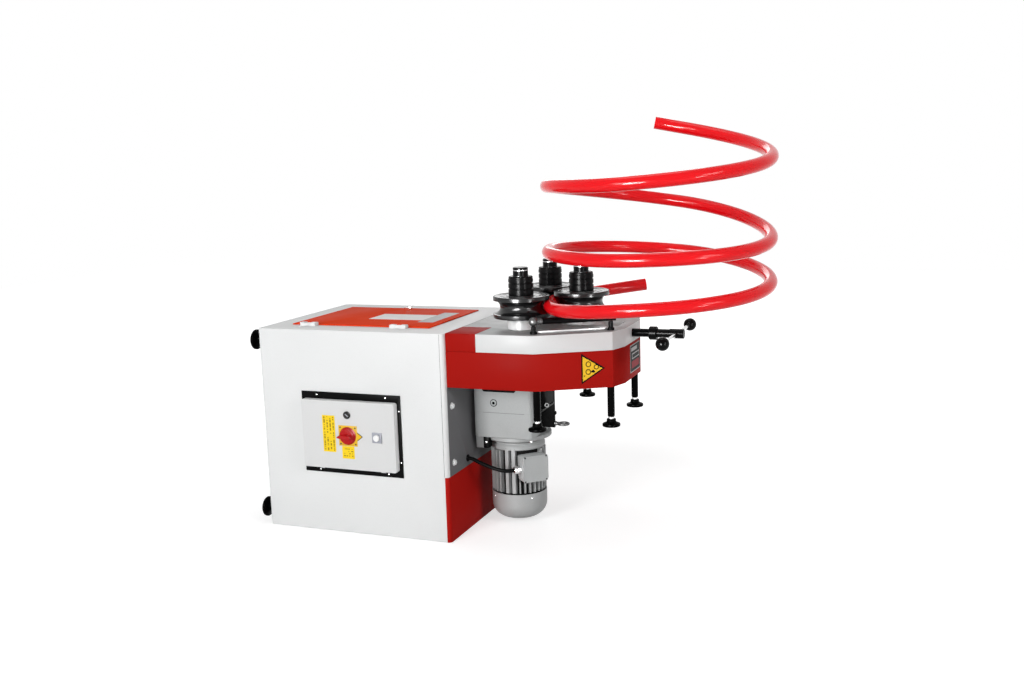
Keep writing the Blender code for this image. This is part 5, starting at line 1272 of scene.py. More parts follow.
@dataclass
class ControlPanel:
    """The black frame, the panel door and everything on it."""

    frame_y: float = -0.2658
    lid_y: float = -0.2875
    lid_back: float = -0.267
    lid_size: Pair = (0.300, 0.200)
    lid_corner: float = 0.0055
    lid_wall: float = 0.002
    hinge_y: float = -0.2696
    tongue_x: float = 0.100
    tongue_radius: float = 0.0035
    tongue_length: float = 0.014
    tongue_drop: float = 0.0038
    middle_z: float = 0.3
    top_screws: tuple[float, ...] = (-0.1102, 0.1136)
    side_screws: tuple[float, ...] = (0.3748, 0.2255)
    top_z: float = 0.4112
    bottom_z: float = 0.1888
    side_x: float = 0.1552
    frame_screw: Fastener = Fastener(0.0027, 0.0013)
    plate_screw: Fastener = Fastener(0.0024, 0.0009, SOCKET_BLACK, "black_plastic", "panel_door")
    plate_screw_at: float = 0.024
    plate_rise: float = 0.0013
    hub_low: float = 0.0016
    hub: Profile = (
        (0.0, 0.0), (0.0262, 0.0), (0.0262, 0.0022), (0.0243, 0.0030),
        (0.0236, 0.0062), (0.0222, 0.0086), (0.0195, 0.0094), (0.0, 0.0094),
    )
    grip: Profile = (
        (-0.0275, 0.0), (-0.0215, -0.0042), (-0.006, -0.0072), (0.0175, -0.0072), (0.0215, -0.004),
        (0.0215, 0.004), (0.0175, 0.0072), (-0.006, 0.0072), (-0.0215, 0.0042),
    )
    grip_rise: float = 0.0155
    grip_taper: Point = (0.9, 0.72, 1.0)
    grip_low: float = 0.0088
    lock_up: float = 0.061
    barrel: Profile = (
        (0.0, 0.0012), (0.0062, 0.0012), (0.0072, 0.0034), (0.0095, 0.0042),
        (0.0110, 0.0034), (0.0110, 0.0003), (0.0, 0.0003),
    )
    key_half: Point = (0.0062, 0.0021, 0.0013)
    key_out: float = 0.0027
    key_turn: float = -40.0
    button_x: float = 0.094
    cap: Profile = (
        (0.0, 0.0082), (0.005, 0.0083), (0.0078, 0.0088), (0.009, 0.0086), (0.0095, 0.0078),
        (0.0095, 0.002), (0.005, 0.002), (0.005, -0.022), (0.0, -0.022),
    )
    foils: tuple[tuple[str, Pair, Pair, bool, float], ...] = (
        ("tall_label", (-0.0825, -0.0414), (0.2490, 0.3570), True, 0.0098),
        ("lower_label", (-0.0215, 0.0184), (0.2320, 0.2690), False, 0.0068),
    )
    foil_margin: float = 0.004
    triangle: Profile = ((0.0245, 0.2815), (0.0480, 0.2995), (0.0255, 0.3150))
    triangle_field: float = 0.78

    def build(self) -> None:
        """Builds the panel."""
        dress("enclosure_frame", BLACK_COAT_AND_SHADE, 0.0005)
        dress("enclosure_box", LID_COAT, 0.0004)
        self.lid()
        self.screws()
        self.switch()
        self.lock()
        self.button()
        self.labels()

    def lid(self) -> None:
        """The door: a folded tray with two hinge tongues at the bottom."""
        depth = self.lid_back - self.lid_y
        outline = rounded_outline(*self.lid_size, self.lid_corner, 5)
        home = (0, self.lid_back, self.middle_z)
        tray = BENCH.plate("lid_tray", outline, depth, home, Facing.FRONT.value)
        with BENCH.editing(tray):
            BENCH.choose(tray, lambda face: face.normal.y > 0.9)
            bpy.ops.mesh.inset(thickness=self.lid_wall)
            bpy.ops.mesh.extrude_region_move(TRANSFORM_OT_translate={"value": (0, self.lid_wall - depth, 0)})
        BENCH.rounded(tray, 0.0007, 3)
        pieces = [tray]
        edge = self.middle_z - self.lid_size[1] / 2
        level = edge - self.tongue_drop
        radius, length = self.tongue_radius, self.tongue_length
        for side in (-1, 1):
            x = side * self.tongue_x - length / 2
            barrel = [(0.0, 0.0), (radius, 0.0), (radius, length), (0.0, length)]
            home = (x, self.hinge_y, level)
            pieces.append(BENCH.lathe(f"tongue_barrel_{side}", barrel, home, Facing.RIGHT.value, 24, 40))
            low = (x, self.hinge_y - radius, level)
            high = (x + length, self.hinge_y + 0.0024, edge + 0.001)
            pieces.append(BENCH.box(f"tongue_{side}", low, high))
        lid = BENCH.smooth(BENCH.joined("panel_lid", pieces))
        deliver(lid, "panel_door", LID_COAT, ["enclosure_door"])

    def screws(self) -> None:
        """Eight small bright screws in the frame."""
        places = [(x, z) for x in self.top_screws for z in (self.top_z, self.bottom_z)]
        places += [(side * self.side_x, z) for side in (-1, 1) for z in self.side_screws]
        for index, (x, z) in enumerate(places):
            self.frame_screw.screw(f"frame_screw_{index}", (x, self.frame_y, z), Facing.FRONT.value)

    def switch(self) -> None:
        """The yellow plate, the red hub and its pointed grip."""
        dress("switch_plate", SWITCH_YELLOW, 0.0003)
        front = Facing.FRONT.value
        seat = (0.0, self.lid_y, self.middle_z)
        profile = [(radius, self.hub_low + height) for radius, height in self.hub]
        hub = BENCH.lathe("switch_hub", profile, seat, front, 72, 28)
        deliver(hub, "switch", SWITCH_RED, ["main_switch_knob"])
        grip = BENCH.plate("switch_grip", self.grip, self.grip_rise)
        with BENCH.editing(grip):
            BENCH.choose(grip, lambda face: face.normal.z > 0.9)
            bpy.ops.transform.resize(value=self.grip_taper, center_override=(0, 0, 0))
        BENCH.rounded(grip, 0.0011, 3)
        BENCH.settle(grip, (0.0, self.lid_y - self.hub_low - self.grip_low, self.middle_z), front)
        deliver(BENCH.smooth(grip), "switch", SWITCH_RED)
        for index, (side, over) in enumerate(((-1, 1), (1, 1), (-1, -1), (1, -1))):
            x, z = side * self.plate_screw_at, self.middle_z + over * self.plate_screw_at
            self.plate_screw.screw(f"plate_screw_{index}", (x, self.lid_y - self.plate_rise, z), front)

    def lock(self) -> None:
        """The quarter-turn lock: a black barrel with a key bar across it."""
        z = self.middle_z + self.lock_up
        barrel = BENCH.lathe("lock_barrel", self.barrel, (0, self.lid_y, z), Facing.FRONT.value, 48, 30)
        deliver(barrel, "lock", SOCKET_BLACK)
        paint_node("door_lock", SOCKET_BLACK)
        half_x, half_y, half_z = self.key_half
        y = self.lid_y - self.key_out
        low, high = (-half_x, y - half_y, z - half_z), (half_x, y + half_y, z + half_z)
        key = BENCH.box("lock_key_bar", low, high, 0.0004)
        with BENCH.editing(key):
            turn = math.radians(self.key_turn)
            bpy.ops.transform.rotate(value=turn, orient_axis="Y", center_override=(0, self.lid_y, z))
        deliver(key, "lock", BEZEL_GREY)

    def button(self) -> None:
        """The square grey bezel with its round white button."""
        dress("button_bezel", BEZEL_GREY, 0.0009, 3)
        home = (self.button_x, self.lid_y, self.middle_z)
        button = BENCH.lathe("button_cap", self.cap, home, Facing.FRONT.value, 48, 30)
        deliver(button, "button", BUTTON_WHITE, ["start_button"])

    def labels(self) -> None:
        """Yellow foils on the door, with marks that say nothing, and a blank warning triangle."""
        front = Facing.FRONT.value
        for name, (x0, x1), (z0, z1), upright, row in self.foils:
            size = (x1 - x0, z1 - z0)
            middle = ((x0 + x1) / 2, self.lid_y, (z0 + z1) / 2)
            half = (size[0] / 2 - self.foil_margin, size[1] / 2 - self.foil_margin)
            finish = Print(
                name, (0.93, 0.66, 0.02), 0.45, specular=0.05, ink=(0.25, 0.13, 0.01), middle=middle,
                half=half, row=row, letter=0.0022, upright=upright, amount=0.55,
            )
            piece = BENCH.plate(name, rounded_outline(*size, 0.0022), 0.0003, middle, front)
            deliver(piece, "panel_door", finish)
        middle_x, middle_z = (sum(point[axis] for point in self.triangle) / 3 for axis in (0, 1))
        for name, shrink, rise, finish in (
            ("triangle_edge", 1.0, 0.0003, BLACK_FOIL),
            ("triangle_field", self.triangle_field, 0.0005, WARM_FOIL),
        ):
            outline = [((x - middle_x) * shrink, (z - middle_z) * shrink) for x, z in self.triangle]
            piece = BENCH.plate(name, outline, rise, (middle_x, self.lid_y, middle_z), front)
            deliver(piece, "panel_door", finish)


@dataclass
class Head:
    """The red skirt, its corner covers, the plates and two blank signs."""

    bend: Pair = (0.556, -0.25)
    corner: Pair = (0.747, -0.1425)
    sign_run: float = 0.132
    sign_z: float = 0.5025
    sign_middle: float = 0.0218
    sign_field: float = 0.83
    triangle: Profile = ((0.0, -0.0415), (0.0655, 0.0), (0.0, 0.0415))
    rings: tuple[tuple[float, float, float], ...] = (
        (0.0196, 0.0126, 0.0077), (0.0413, 0.0042, 0.007), (0.0189, -0.0084, 0.0077),
    )
    ring_line: float = 0.0023
    hand: Profile = ((-0.006, -0.002), (0.004, -0.004), (0.006, 0.0), (0.002, 0.0045), (-0.003, 0.002))
    end_sign_at: Point = (0.765, 0.0205, 0.5033)
    end_fields: tuple[tuple[str, Pair, float, float, float, Finish], ...] = (
        ("edge", (0.104, 0.078), 0.0, 0.0, 0.0004, GREY_FOIL),
        ("field", (0.099, 0.073), 0.0, 0.0, 0.0006, BLACK_FOIL),
        ("picture", (0.060, 0.010), -0.012, 0.026, 0.0008, GREY_FOIL),
        ("picture_low", (0.076, 0.016), 0.004, 0.006, 0.0008, GREY_FOIL),
        ("picture_core", (0.068, 0.010), 0.004, 0.006, 0.001, BLACK_FOIL),
        ("warning", (0.076, 0.020), 0.0, -0.018, 0.0008, RED_FOIL),
    )

    def build(self) -> None:
        """Builds the head."""
        dress("head_skirt", RED_COAT, 0.0006)
        for side in ("front", "back"):
            dress(f"{side}_corner_cover", RED_COAT, 0.0012, 3)
        plate = dress("top_plate", PLATE_COAT, 0.0008)
        # Upward faces get the darker ground finish: bare steel, and partly painted shade on the plate's top.
        plate.data.materials.append(PLATE_TOP_GROUND_AND_SHADE.make())
        for face in plate.data.polygons:
            face.material_index = int(face.normal.z > 0.9)
        dress("bottom_plate", STEEL_ALONG, 0.0006)
        self.roller_sign()
        self.end_sign()

    def stick(
        self, name: str, outline: Profile, across: float, up: float, rise: float, finish: Finish
    ) -> None:
        """Puts one flat piece on the skirt's slanted front.

        Args:
            name: Its name.
            outline: Its outline round its own middle.
            across: Its place along the facet, from the roller sign's left edge.
            up: Its place above the sign's middle.
            rise: How far it stands out.
            finish: Its finish.
        """
        run = (Vector(self.corner) - Vector(self.bend)).normalized()
        spot = Vector(self.bend) + run * self.sign_run
        home = (spot.x + run.x * across, spot.y + run.y * across, self.sign_z + up)
        turn = (QUARTER, 0.0, math.atan2(run.y, run.x))
        deliver(BENCH.plate(name, outline, rise, home, turn), "machine", finish)

    def roller_sign(self) -> None:
        """A yellow triangle with rings for the rollers, a hand and two arrows."""
        middle = self.sign_middle
        for name, shrink, rise, finish in (
            ("roller_sign_edge", 1.0, 0.0004, BLACK_FOIL),
            ("roller_sign_field", self.sign_field, 0.0006, WARM_FOIL),
        ):
            outline = [((x - middle) * shrink, z * shrink) for x, z in self.triangle]
            self.stick(name, outline, middle, 0.0, rise, finish)
        for index, (across, up, radius) in enumerate(self.rings):
            self.stick(f"sign_ring_{index}", polygon(radius, 32), across, up, 0.0008, DARK_INK_AND_SHADE)
            core = polygon(radius - self.ring_line, 32)
            self.stick(f"sign_core_{index}", core, across, up, 0.001, WARM_FOIL)
        self.stick("sign_hand", self.hand, 0.0315, -0.0075, 0.0011, DARK_INK_AND_SHADE)
        self.stick("sign_arrow_low", polygon(0.0028, 3, 30), 0.0075, -0.0195, 0.0008, DARK_INK_AND_SHADE)
        self.stick("sign_arrow_high", polygon(0.0024, 3, -30), 0.0515, 0.0035, 0.0008, DARK_INK_AND_SHADE)

    def end_sign(self) -> None:
        """A dark plate with light and red fields on the end face; it says nothing."""
        x, y, z = self.end_sign_at
        for name, size, across, up, rise, finish in self.end_fields:
            outline = rounded_outline(*size, 0.0015, 3)
            home = (x, y + across, z + up)
            piece = BENCH.plate(f"end_sign_{name}", outline, rise, home, (QUARTER, 0.0, QUARTER))
            deliver(piece, "machine", finish)


@dataclass
class RollerStack:
    """One roller with its spacer rings, nut and shaft end."""

    label: str
    body: str
    centre: Pair
    nodes: tuple[str, str, str]
    low: float = 0.6316
    height: float = 0.062
    radius: float = 0.079
    rim_edge: float = 0.0042
    bore: float = 0.0213
    groove_centre: float = 0.0786
    groove: float = 0.0189
    dip: float = 0.0009
    dips: tuple[Pair, ...] = ((0.0665, 0.0590), (0.0540, 0.0415))
    dip_slope: float = 0.001
    nut_low: float = 0.6939
    nut_radius: float = 0.035
    nut_height: float = 0.053
    nut_lines: Pair = (0.018, 0.034)
    stub_low: float = 0.7469
    stub: Profile = (
        (0.0, 0.0205), (0.0022, 0.0225), (0.0042, 0.0243), (0.0185, 0.0243),
        (0.0212, 0.0222), (0.0213, 0.0175), (0.0206, 0.0168), (0.0206, 0.0152),
        (0.0213, 0.0145), (0.0213, 0.0002), (0.0, 0.0002),
    )

    def build(self) -> None:
        """Builds the roller, the nut and the shaft's end, which covers the plain end of the solid."""
        x, y = self.centre
        axis = (x, y, 0.0)
        steel = TurnedSteel(
            f"roller_black_{self.label}", (0.006, 0.006, 0.0065), 0.2, 0.0, 0.4, centre=axis, wear=0.3
        )
        dull = TurnedSteel(
            f"nut_black_{self.label}", (0.005, 0.005, 0.0055), 0.24, 0.0, 0.06, centre=axis, wear=0.3
        )
        name = f"shaft_bright_{self.label}"
        bright = TurnedSteel(name, (0.45, 0.45, 0.46), 0.3, 1.0, centre=axis, wear=0.1)
        for name, profile, low, steps, finish, replaced in (
            ("roller", self.roller_profile(), self.low, 112, steel, [self.nodes[0]]),
            ("nut", self.nut_profile(), self.nut_low, 72, dull, [self.nodes[1]]),
            ("stub", self.stub, self.stub_low, 64, dull, []),
        ):
            piece = BENCH.lathe(f"{self.label}_{name}", profile, (x, y, low), steps=steps, smooth=28)
            deliver(piece, self.body, finish, replaced)
        paint_node(self.nodes[2], bright)

    def roller_profile(self) -> Outline:
        """Half of the roller: rounded rims, half-round groove, shallow rings in its top face.

        Returns:
            The closed profile.
        """
        bore, edge, top = self.bore, self.rim_edge, self.height
        lean = math.degrees(math.acos((self.radius - self.groove_centre) / self.groove))
        rim_low = arc((self.radius - edge, edge), edge, -90, 0, 6)
        groove = arc((self.groove_centre, top / 2), self.groove, -lean, -360 + lean, 26)
        rim_high = arc((self.radius - edge, top - edge), edge, 0, 90, 6)
        face = []
        for outer, inner in self.dips:
            face += [(outer, top), (outer - self.dip_slope, top - self.dip)]
            face += [(inner + self.dip_slope, top - self.dip), (inner, top)]
        return [(bore, 0.0), (0.04, 0.0), *rim_low, *groove, *rim_high, *face, (bore, top), (bore, 0.0)]

    def nut_profile(self) -> Outline:
        """Half of the spacer rings and the nut.

        Returns:
            The closed profile.
        """
        r, bore = self.nut_radius, self.bore
        points = [(bore, 0.0), (r - 0.0012, 0.0), (r, 0.0012)]
        for middle in self.nut_lines:
            points += [(r, middle - 0.0024), (r - 0.0012, middle - 0.0012), (r - 0.0034, middle - 0.0008)]
            points += [(r - 0.0034, middle + 0.0008), (r - 0.0012, middle + 0.0012), (r, middle + 0.0024)]
        points += [(r, 0.0445), (r - 0.0012, 0.0458), (r - 0.0012, 0.0505), (r - 0.0032, self.nut_height)]
        return [*points, (bore, self.nut_height), (bore, 0.0)]


@dataclass
class Drive:
    """Housings, gears and the carriage inside the head."""

    edge: float = 0.0007

    def build(self) -> None:
        """Finishes the inner pieces."""
        for side in ("front", "back"):
            dress(f"bearing_housing_{side}", BOSS_COAT, self.edge)
        paint_node("drive_pinion", STEEL_UPRIGHT)
        dress("carriage", PLATE_COAT, self.edge)


@dataclass
class Feed:
    """The adjusting screw with its collar, cross bar and ball knobs."""

    axis_z: float = 0.576
    tip: float = 0.6483
    tip_radius: float = 0.008
    start: float = 0.6718
    core_radius: float = 0.0105
    crest_radius: float = 0.012
    pitch: float = 0.0035
    collar_radius: float = 0.019
    collar_edge: float = 0.0016
    collar_low: float = 0.8135
    collar_high: float = 0.8352
    hub_radius: float = 0.0135
    hub_low: float = 0.870
    hub_high: float = 0.911
    bar_x: float = 0.8905
    bar_half: float = 0.170
    bar: Profile = (
        (0.0, -0.1612), (0.0042, -0.1612), (0.005, -0.1604), (0.005, 0.1604), (0.0042, 0.1612), (0.0, 0.1612),
    )
    knob_radius: float = 0.0185
    mouth: Profile = ((0.0, 0.0085), (0.0053, 0.0085), (0.0053, 0.0168), (0.0062, 0.0172))
    mouth_angle: float = 68.0

    def build(self) -> None:
        """Builds the screw, the bar and the knobs."""
        right = Facing.RIGHT.value
        steel = TurnedSteel(
            "screw_black", (0.003, 0.003, 0.0033), 0.24, 0.0, 0.05, centre=(0, 0, self.axis_z), turn=right
        )
        screw = BENCH.lathe("feed_screw", self.profile(), (0, 0, self.axis_z), right, 48, 30)
        deliver(screw, "screw", steel, ["spindle"])
        bar = BENCH.lathe("cross_bar", self.bar, (self.bar_x, 0, self.axis_z), Facing.BACK.value, 40, 30)
        deliver(bar, "screw", CHROME, ["tee_bar"])
        for name, side, facing in (("front", -1, Facing.BACK), ("back", 1, Facing.FRONT)):
            place = (self.bar_x, side * self.bar_half, self.axis_z)
            knob = BENCH.lathe(f"knob_{name}", self.knob_profile(), place, facing.value, 56, 30)
            deliver(knob, "screw", KNOB_BLACK, [f"ball_knob_{name}"])

    def profile(self) -> Outline:
        """Half of the screw, with its thread's ridges, collar and hub.

        Returns:
            The profile.
        """
        core, crest, edge = self.core_radius, self.crest_radius, self.collar_edge
        points = [(0.0, self.tip), (self.tip_radius, self.tip)]
        points += [(self.tip_radius, self.start), (core, self.start)]
        x = self.start + 0.001
        while x < self.collar_low - self.pitch:
            points += [(core, x), (crest, x + 0.0011), (crest, x + 0.0017), (core, x + 0.0028)]
            x += self.pitch
        rim = self.collar_radius
        points += [(core, self.collar_low), (rim - edge, self.collar_low), (rim, self.collar_low + edge)]
        points += [(rim, self.collar_high - edge), (rim - edge, self.collar_high), (crest, self.collar_high)]
        hub, low, high = self.hub_radius, self.hub_low, self.hub_high
        points += [(crest, low), (crest + 0.0005, low), (hub, low + 0.001)]
        return [*points, (hub, high - 0.0015), (crest, high), (0.0, high)]

    def knob_profile(self) -> Outline:
        """Half of a ball knob; its mouth looks along its own +Z.

        Returns:
            The profile.
        """
        ball = arc((0.0, 0.0), self.knob_radius, self.mouth_angle, -90, 30)
        return [*self.mouth, *ball[:-1], (0.0, -self.knob_radius)]


@dataclass
class Gearmotor:
    """Gear case, finned motor, cowl, terminal box, gland and lead."""

    case_x: float = 0.402
    case_length: float = 0.180
    case_depth: float = 0.205
    case_corner: float = 0.0146
    seam_out: float = 0.0006
    seam_z: float = 0.3467
    seam_rise: float = 0.0009
    parting_low: Pair = (0.3435, 0.3458)
    parting_high: Pair = (0.4705, 0.3466)
    plug_at: Pair = (0.3771, 0.3752)
    plug_groove: Profile = (
        (0.0088, 0.0002), (0.0092, 0.0007), (0.0104, 0.0007), (0.0108, 0.0002), (0.0088, 0.0002),
    )
    plug: Profile = (
        (0.0, 0.0006), (0.0046, 0.0006), (0.0046, 0.0026), (0.0072, 0.0024),
        (0.0086, 0.0012), (0.0088, 0.0), (0.0, 0.0),
    )
    plug_socket: Profile = ((0.0, 0.0011), (0.0042, 0.0011), (0.0045, 0.0005), (0.0, 0.0005))
    recess_middle: Pair = (0.394, 0.43)
    recess: Profile = (
        (0.3424, 0.4474), (0.3424, 0.4125), (0.3475, 0.4078),
        (0.441, 0.4078), (0.4455, 0.4115), (0.4455, 0.4474),
    )
    recess_rise: float = 0.0006
    lug_x: Pair = (0.3392, 0.3565)
    lug_y: Pair = (0.0985, 0.071)
    lug_z: Pair = (0.2385, 0.2718)
    lug_screw_at: Pair = (0.3478, 0.2560)
    lug_screw: Fastener = Fastener(0.0036, 0.0022)
    axis_x: float = 0.410
    flange: Profile = (
        (0.0, 0.2719), (0.0985, 0.2719), (0.1, 0.2704), (0.1, 0.2615), (0.0985, 0.2599), (0.0762, 0.2594),
        (0.0735, 0.2565), (0.0735, 0.2522), (0.0765, 0.2495), (0.0765, 0.2462), (0.0, 0.2462),
    )
    flange_bolt_at: Pair = (0.0885, 0.2597)
    flange_bolt: Fastener = Fastener(0.0065, 0.0055)
    core_radius: float = 0.067
    core: Profile = (
        (0.0105, 0.086), (0.057, 0.086), (0.0605, 0.0885), (0.0605, 0.0965), (0.067, 0.0975),
        (0.067, 0.2440), (0.074, 0.2468), (0.0105, 0.2468), (0.0105, 0.086),
    )
    shield_low: float = 0.2285
    shield: Profile = (
        (0.066, 0.2285), (0.0775, 0.2285), (0.0795, 0.2305), (0.0795, 0.2390),
        (0.077, 0.2430), (0.0745, 0.2466), (0.066, 0.2466), (0.066, 0.2285),
    )
    fins: int = 32
    fin_low: float = 0.0962
    fin_radius: float = 0.081
    fin_width: float = 0.0044
    fin_tip: float = 0.72
    fin_lugs: tuple[Pair, ...] = ((-95.0, 0.0135), (-80.5, 0.0150))
    cowl_radius: float = 0.082
    cowl_low: float = 0.0135
    cowl_high: float = 0.0958
    cowl_bend: float = 0.045
    cowl_wall: float = 0.002
    inlet: float = 0.030
    guard_rings: tuple[float, ...] = (0.010, 0.0165, 0.023)
    guard_wire: float = 0.0009
    cowl_screws: tuple[float, ...] = (-43.0, 47.0, 137.0, -133.0)
    cowl_screw_z: float = 0.0835
    cowl_screw: Fastener = Fastener(0.0032, 0.0016)
    lid_screw: Fastener = Fastener(0.0032, 0.0012, DARK_INK_AND_SHADE)
    box_turn: float = -QUARTER / 2
    box_reach: float = 0.0853
    box_depth: float = 0.036
    box_side: float = 0.080
    box_height: float = 0.078
    box_z: float = 0.183
    box_split: float = 0.62
    gasket_rise: float = 0.0008
    pad_half: float = 0.032
    gland_nut: Pair = (0.0124, 0.0052)
    gland_cap: Profile = (
        (0.0057, 0.0006), (0.0105, 0.0), (0.0105, 0.0016), (0.0118, 0.0024), (0.0118, 0.0085),
        (0.0108, 0.0125), (0.0088, 0.0158), (0.0066, 0.0166), (0.0058, 0.0160), (0.0057, 0.0006),
    )
    lead_radius: float = 0.0055
    lead_starts: Pair = (0.0103, 0.026)
    lead_route: tuple[Point, ...] = (
        (0.4275, -0.1278, 0.1834), (0.4190, -0.1332, 0.1845), (0.4070, -0.1374, 0.1868),
        (0.3930, -0.1398, 0.1900), (0.3780, -0.1395, 0.1935), (0.3630, -0.1380, 0.1975),
        (0.3480, -0.1355, 0.2015), (0.3330, -0.1325, 0.2060), (0.3180, -0.1293, 0.2108),
        (0.3040, -0.1280, 0.2130), (0.2840, -0.1280, 0.2130),
    )
    grommet_at: Point = (0.3002, -0.128, 0.213)
    grommet: Profile = (
        (0.0058, 0.0), (0.0105, 0.0), (0.0105, 0.0014), (0.0088, 0.0034), (0.0060, 0.0036), (0.0058, 0.0),
    )

    def build(self) -> None:
        """Builds the gearmotor."""
        self.case()
        self.motor()
        self.cowl()
        self.terminal_box()
        self.lead()
        paint_node("motor_fan", SOCKET_BLACK)

    def case(self) -> None:
        """The cast case with its seam, its plug with a socket painted as shade, a black plate painted as the
        shade in its top recess, and foot screws.
        """
        dress("gearbox_housing", CASE_PAINT, 0.0022, 3)
        out = 2 * self.seam_out
        outline = rounded_outline(self.case_length + out, self.case_depth + out, self.case_corner)
        seam = BENCH.plate("case_seam", outline, self.seam_rise, (self.case_x, 0, self.seam_z))
        deliver(seam, "machine", MOTOR_PAINT)
        front = -self.case_depth / 2
        low = (self.parting_low[0], front - 0.0008, self.parting_low[1])
        high = (self.parting_high[0], front - 0.0001, self.parting_high[1])
        deliver(BENCH.box("case_parting", low, high, 0.0001), "machine", GREY_COAT)
        home = (self.plug_at[0], front, self.plug_at[1])
        for name, profile, finish in (
            ("plug_groove", self.plug_groove, DARK_INK_AND_SHADE),
            ("case_plug", self.plug, CASE_PAINT),
            # The plug's socket is a raised dark disc: painted shade for the hole.
            ("plug_socket", self.plug_socket, DARK_INK_AND_SHADE),
        ):
            piece = BENCH.lathe(name, profile, home, Facing.FRONT.value, 40, 30)
            deliver(piece, "machine", finish)
        # A flat black plate on the case's front below the head: painted shade for the top recess.
        middle_x, middle_z = self.recess_middle
        outline = [(x - middle_x, z - middle_z) for x, z in self.recess]
        home = (middle_x, front, middle_z)
        cover = BENCH.plate("case_top_recess_shade", outline, self.recess_rise, home, Facing.FRONT.value, 0.0002)
        deliver(cover, "machine", BLACK_COAT_AND_SHADE)
        # Black lug blocks with screws beside the case's feet; their black is partly painted shadow under the
        # case.
        for side, facing in ((-1, Facing.FRONT), (1, Facing.BACK)):
            low_y, high_y = sorted(side * y for y in self.lug_y)
            low = (self.lug_x[0], low_y, self.lug_z[0])
            high = (self.lug_x[1], high_y, self.lug_z[1])
            deliver(BENCH.box(f"foot_lug_{side}", low, high, 0.0015), "machine", BLACK_COAT_AND_SHADE)
            place = (self.lug_screw_at[0], side * self.lug_y[0], self.lug_screw_at[1])
            self.lug_screw.screw(f"foot_screw_{side}", place, facing.value)

    def motor(self) -> None:
        """Flange and neck, a core painted near black as the shade between the fins, end shield, fins and four
        flange bolts.
        """
        home = (self.axis_x, 0, 0)
        for name, profile, steps, finish, replaced in (
            ("motor_flange", self.flange, 112, MOTOR_PAINT, ["motor_body"]),
            # The core is painted near black as the shade between the fins.
            ("motor_core_shade", self.core, 96, CORE_PAINTED_SHADE, []),
            ("motor_shield", self.shield, 112, MOTOR_PAINT, []),
        ):
            piece = BENCH.lathe(name, profile, home, steps=steps, smooth=28)
            deliver(piece, "machine", finish, replaced)
        self.fin_ring()
        reach, level = self.flange_bolt_at
        for index in range(4):
            angle = math.radians(45 + 90 * index)
            place = (self.axis_x + reach * math.cos(angle), reach * math.sin(angle), level)
            self.flange_bolt.bolt(f"flange_bolt_{index}", place, Facing.DOWN.value)

    def fin_ring(self) -> None:
        """All cooling fins, each a thin tapered rib, two broad cast lugs and the terminal box's pad."""
        made = []
        for index in range(self.fins):
            azimuth = -180.0 + 360.0 * index / self.fins
            if any(abs(azimuth - place) < 11.5 for place, _ in self.fin_lugs):
                continue
            behind_box = abs(azimuth + 45.0) < 24.0
            high = self.box_z - 0.045 if behind_box else self.shield_low + 0.0005
            made.append(self.rib(f"fin_{index}", azimuth, self.fin_width, high))
        for azimuth, width in self.fin_lugs:
            made.append(self.rib(f"lug_{round(-azimuth)}", azimuth, width, self.shield_low + 0.0105))
        low = (self.core_radius - 0.006, -self.pad_half, self.box_z - self.pad_half)
        high = (self.box_reach - GAP, self.pad_half, self.box_z + self.pad_half)
        pad = BENCH.box("box_pad", low, high, 0.003)
        BENCH.settle(pad, (0, 0, 0), (0, 0, self.box_turn))
        made.append(pad)
        fins = BENCH.joined("motor_fins", made)
        BENCH.settle(fins, (self.axis_x, 0, 0))
        deliver(BENCH.smooth(fins), "machine", MOTOR_PAINT)

    def rib(self, name: str, azimuth: float, width: float, high: float) -> Piece:
        """One fin, thinner and shorter at its tip.

        Args:
            name: Its name.
            azimuth: Its direction from the motor's axis, in degrees.
            width: Its thickness at the root.
            high: Its upper end.

        Returns:
            The fin.
        """
        inner = self.core_radius - 0.003
        fin = BENCH.box(name, (inner, -width / 2, self.fin_low), (self.fin_radius, width / 2, high))
        with BENCH.editing(fin):
            BENCH.choose(fin, lambda face: face.normal.x > 0.9)
            middle = (self.fin_radius, 0, (self.fin_low + high) / 2)
            tall = (high - self.fin_low - 0.008) / (high - self.fin_low)
            bpy.ops.transform.resize(value=(1.0, self.fin_tip, tall), center_override=middle)
        BENCH.rounded(fin, 0.0007, 2)
        BENCH.settle(fin, (0, 0, 0), (0, 0, math.radians(azimuth)))
        return fin

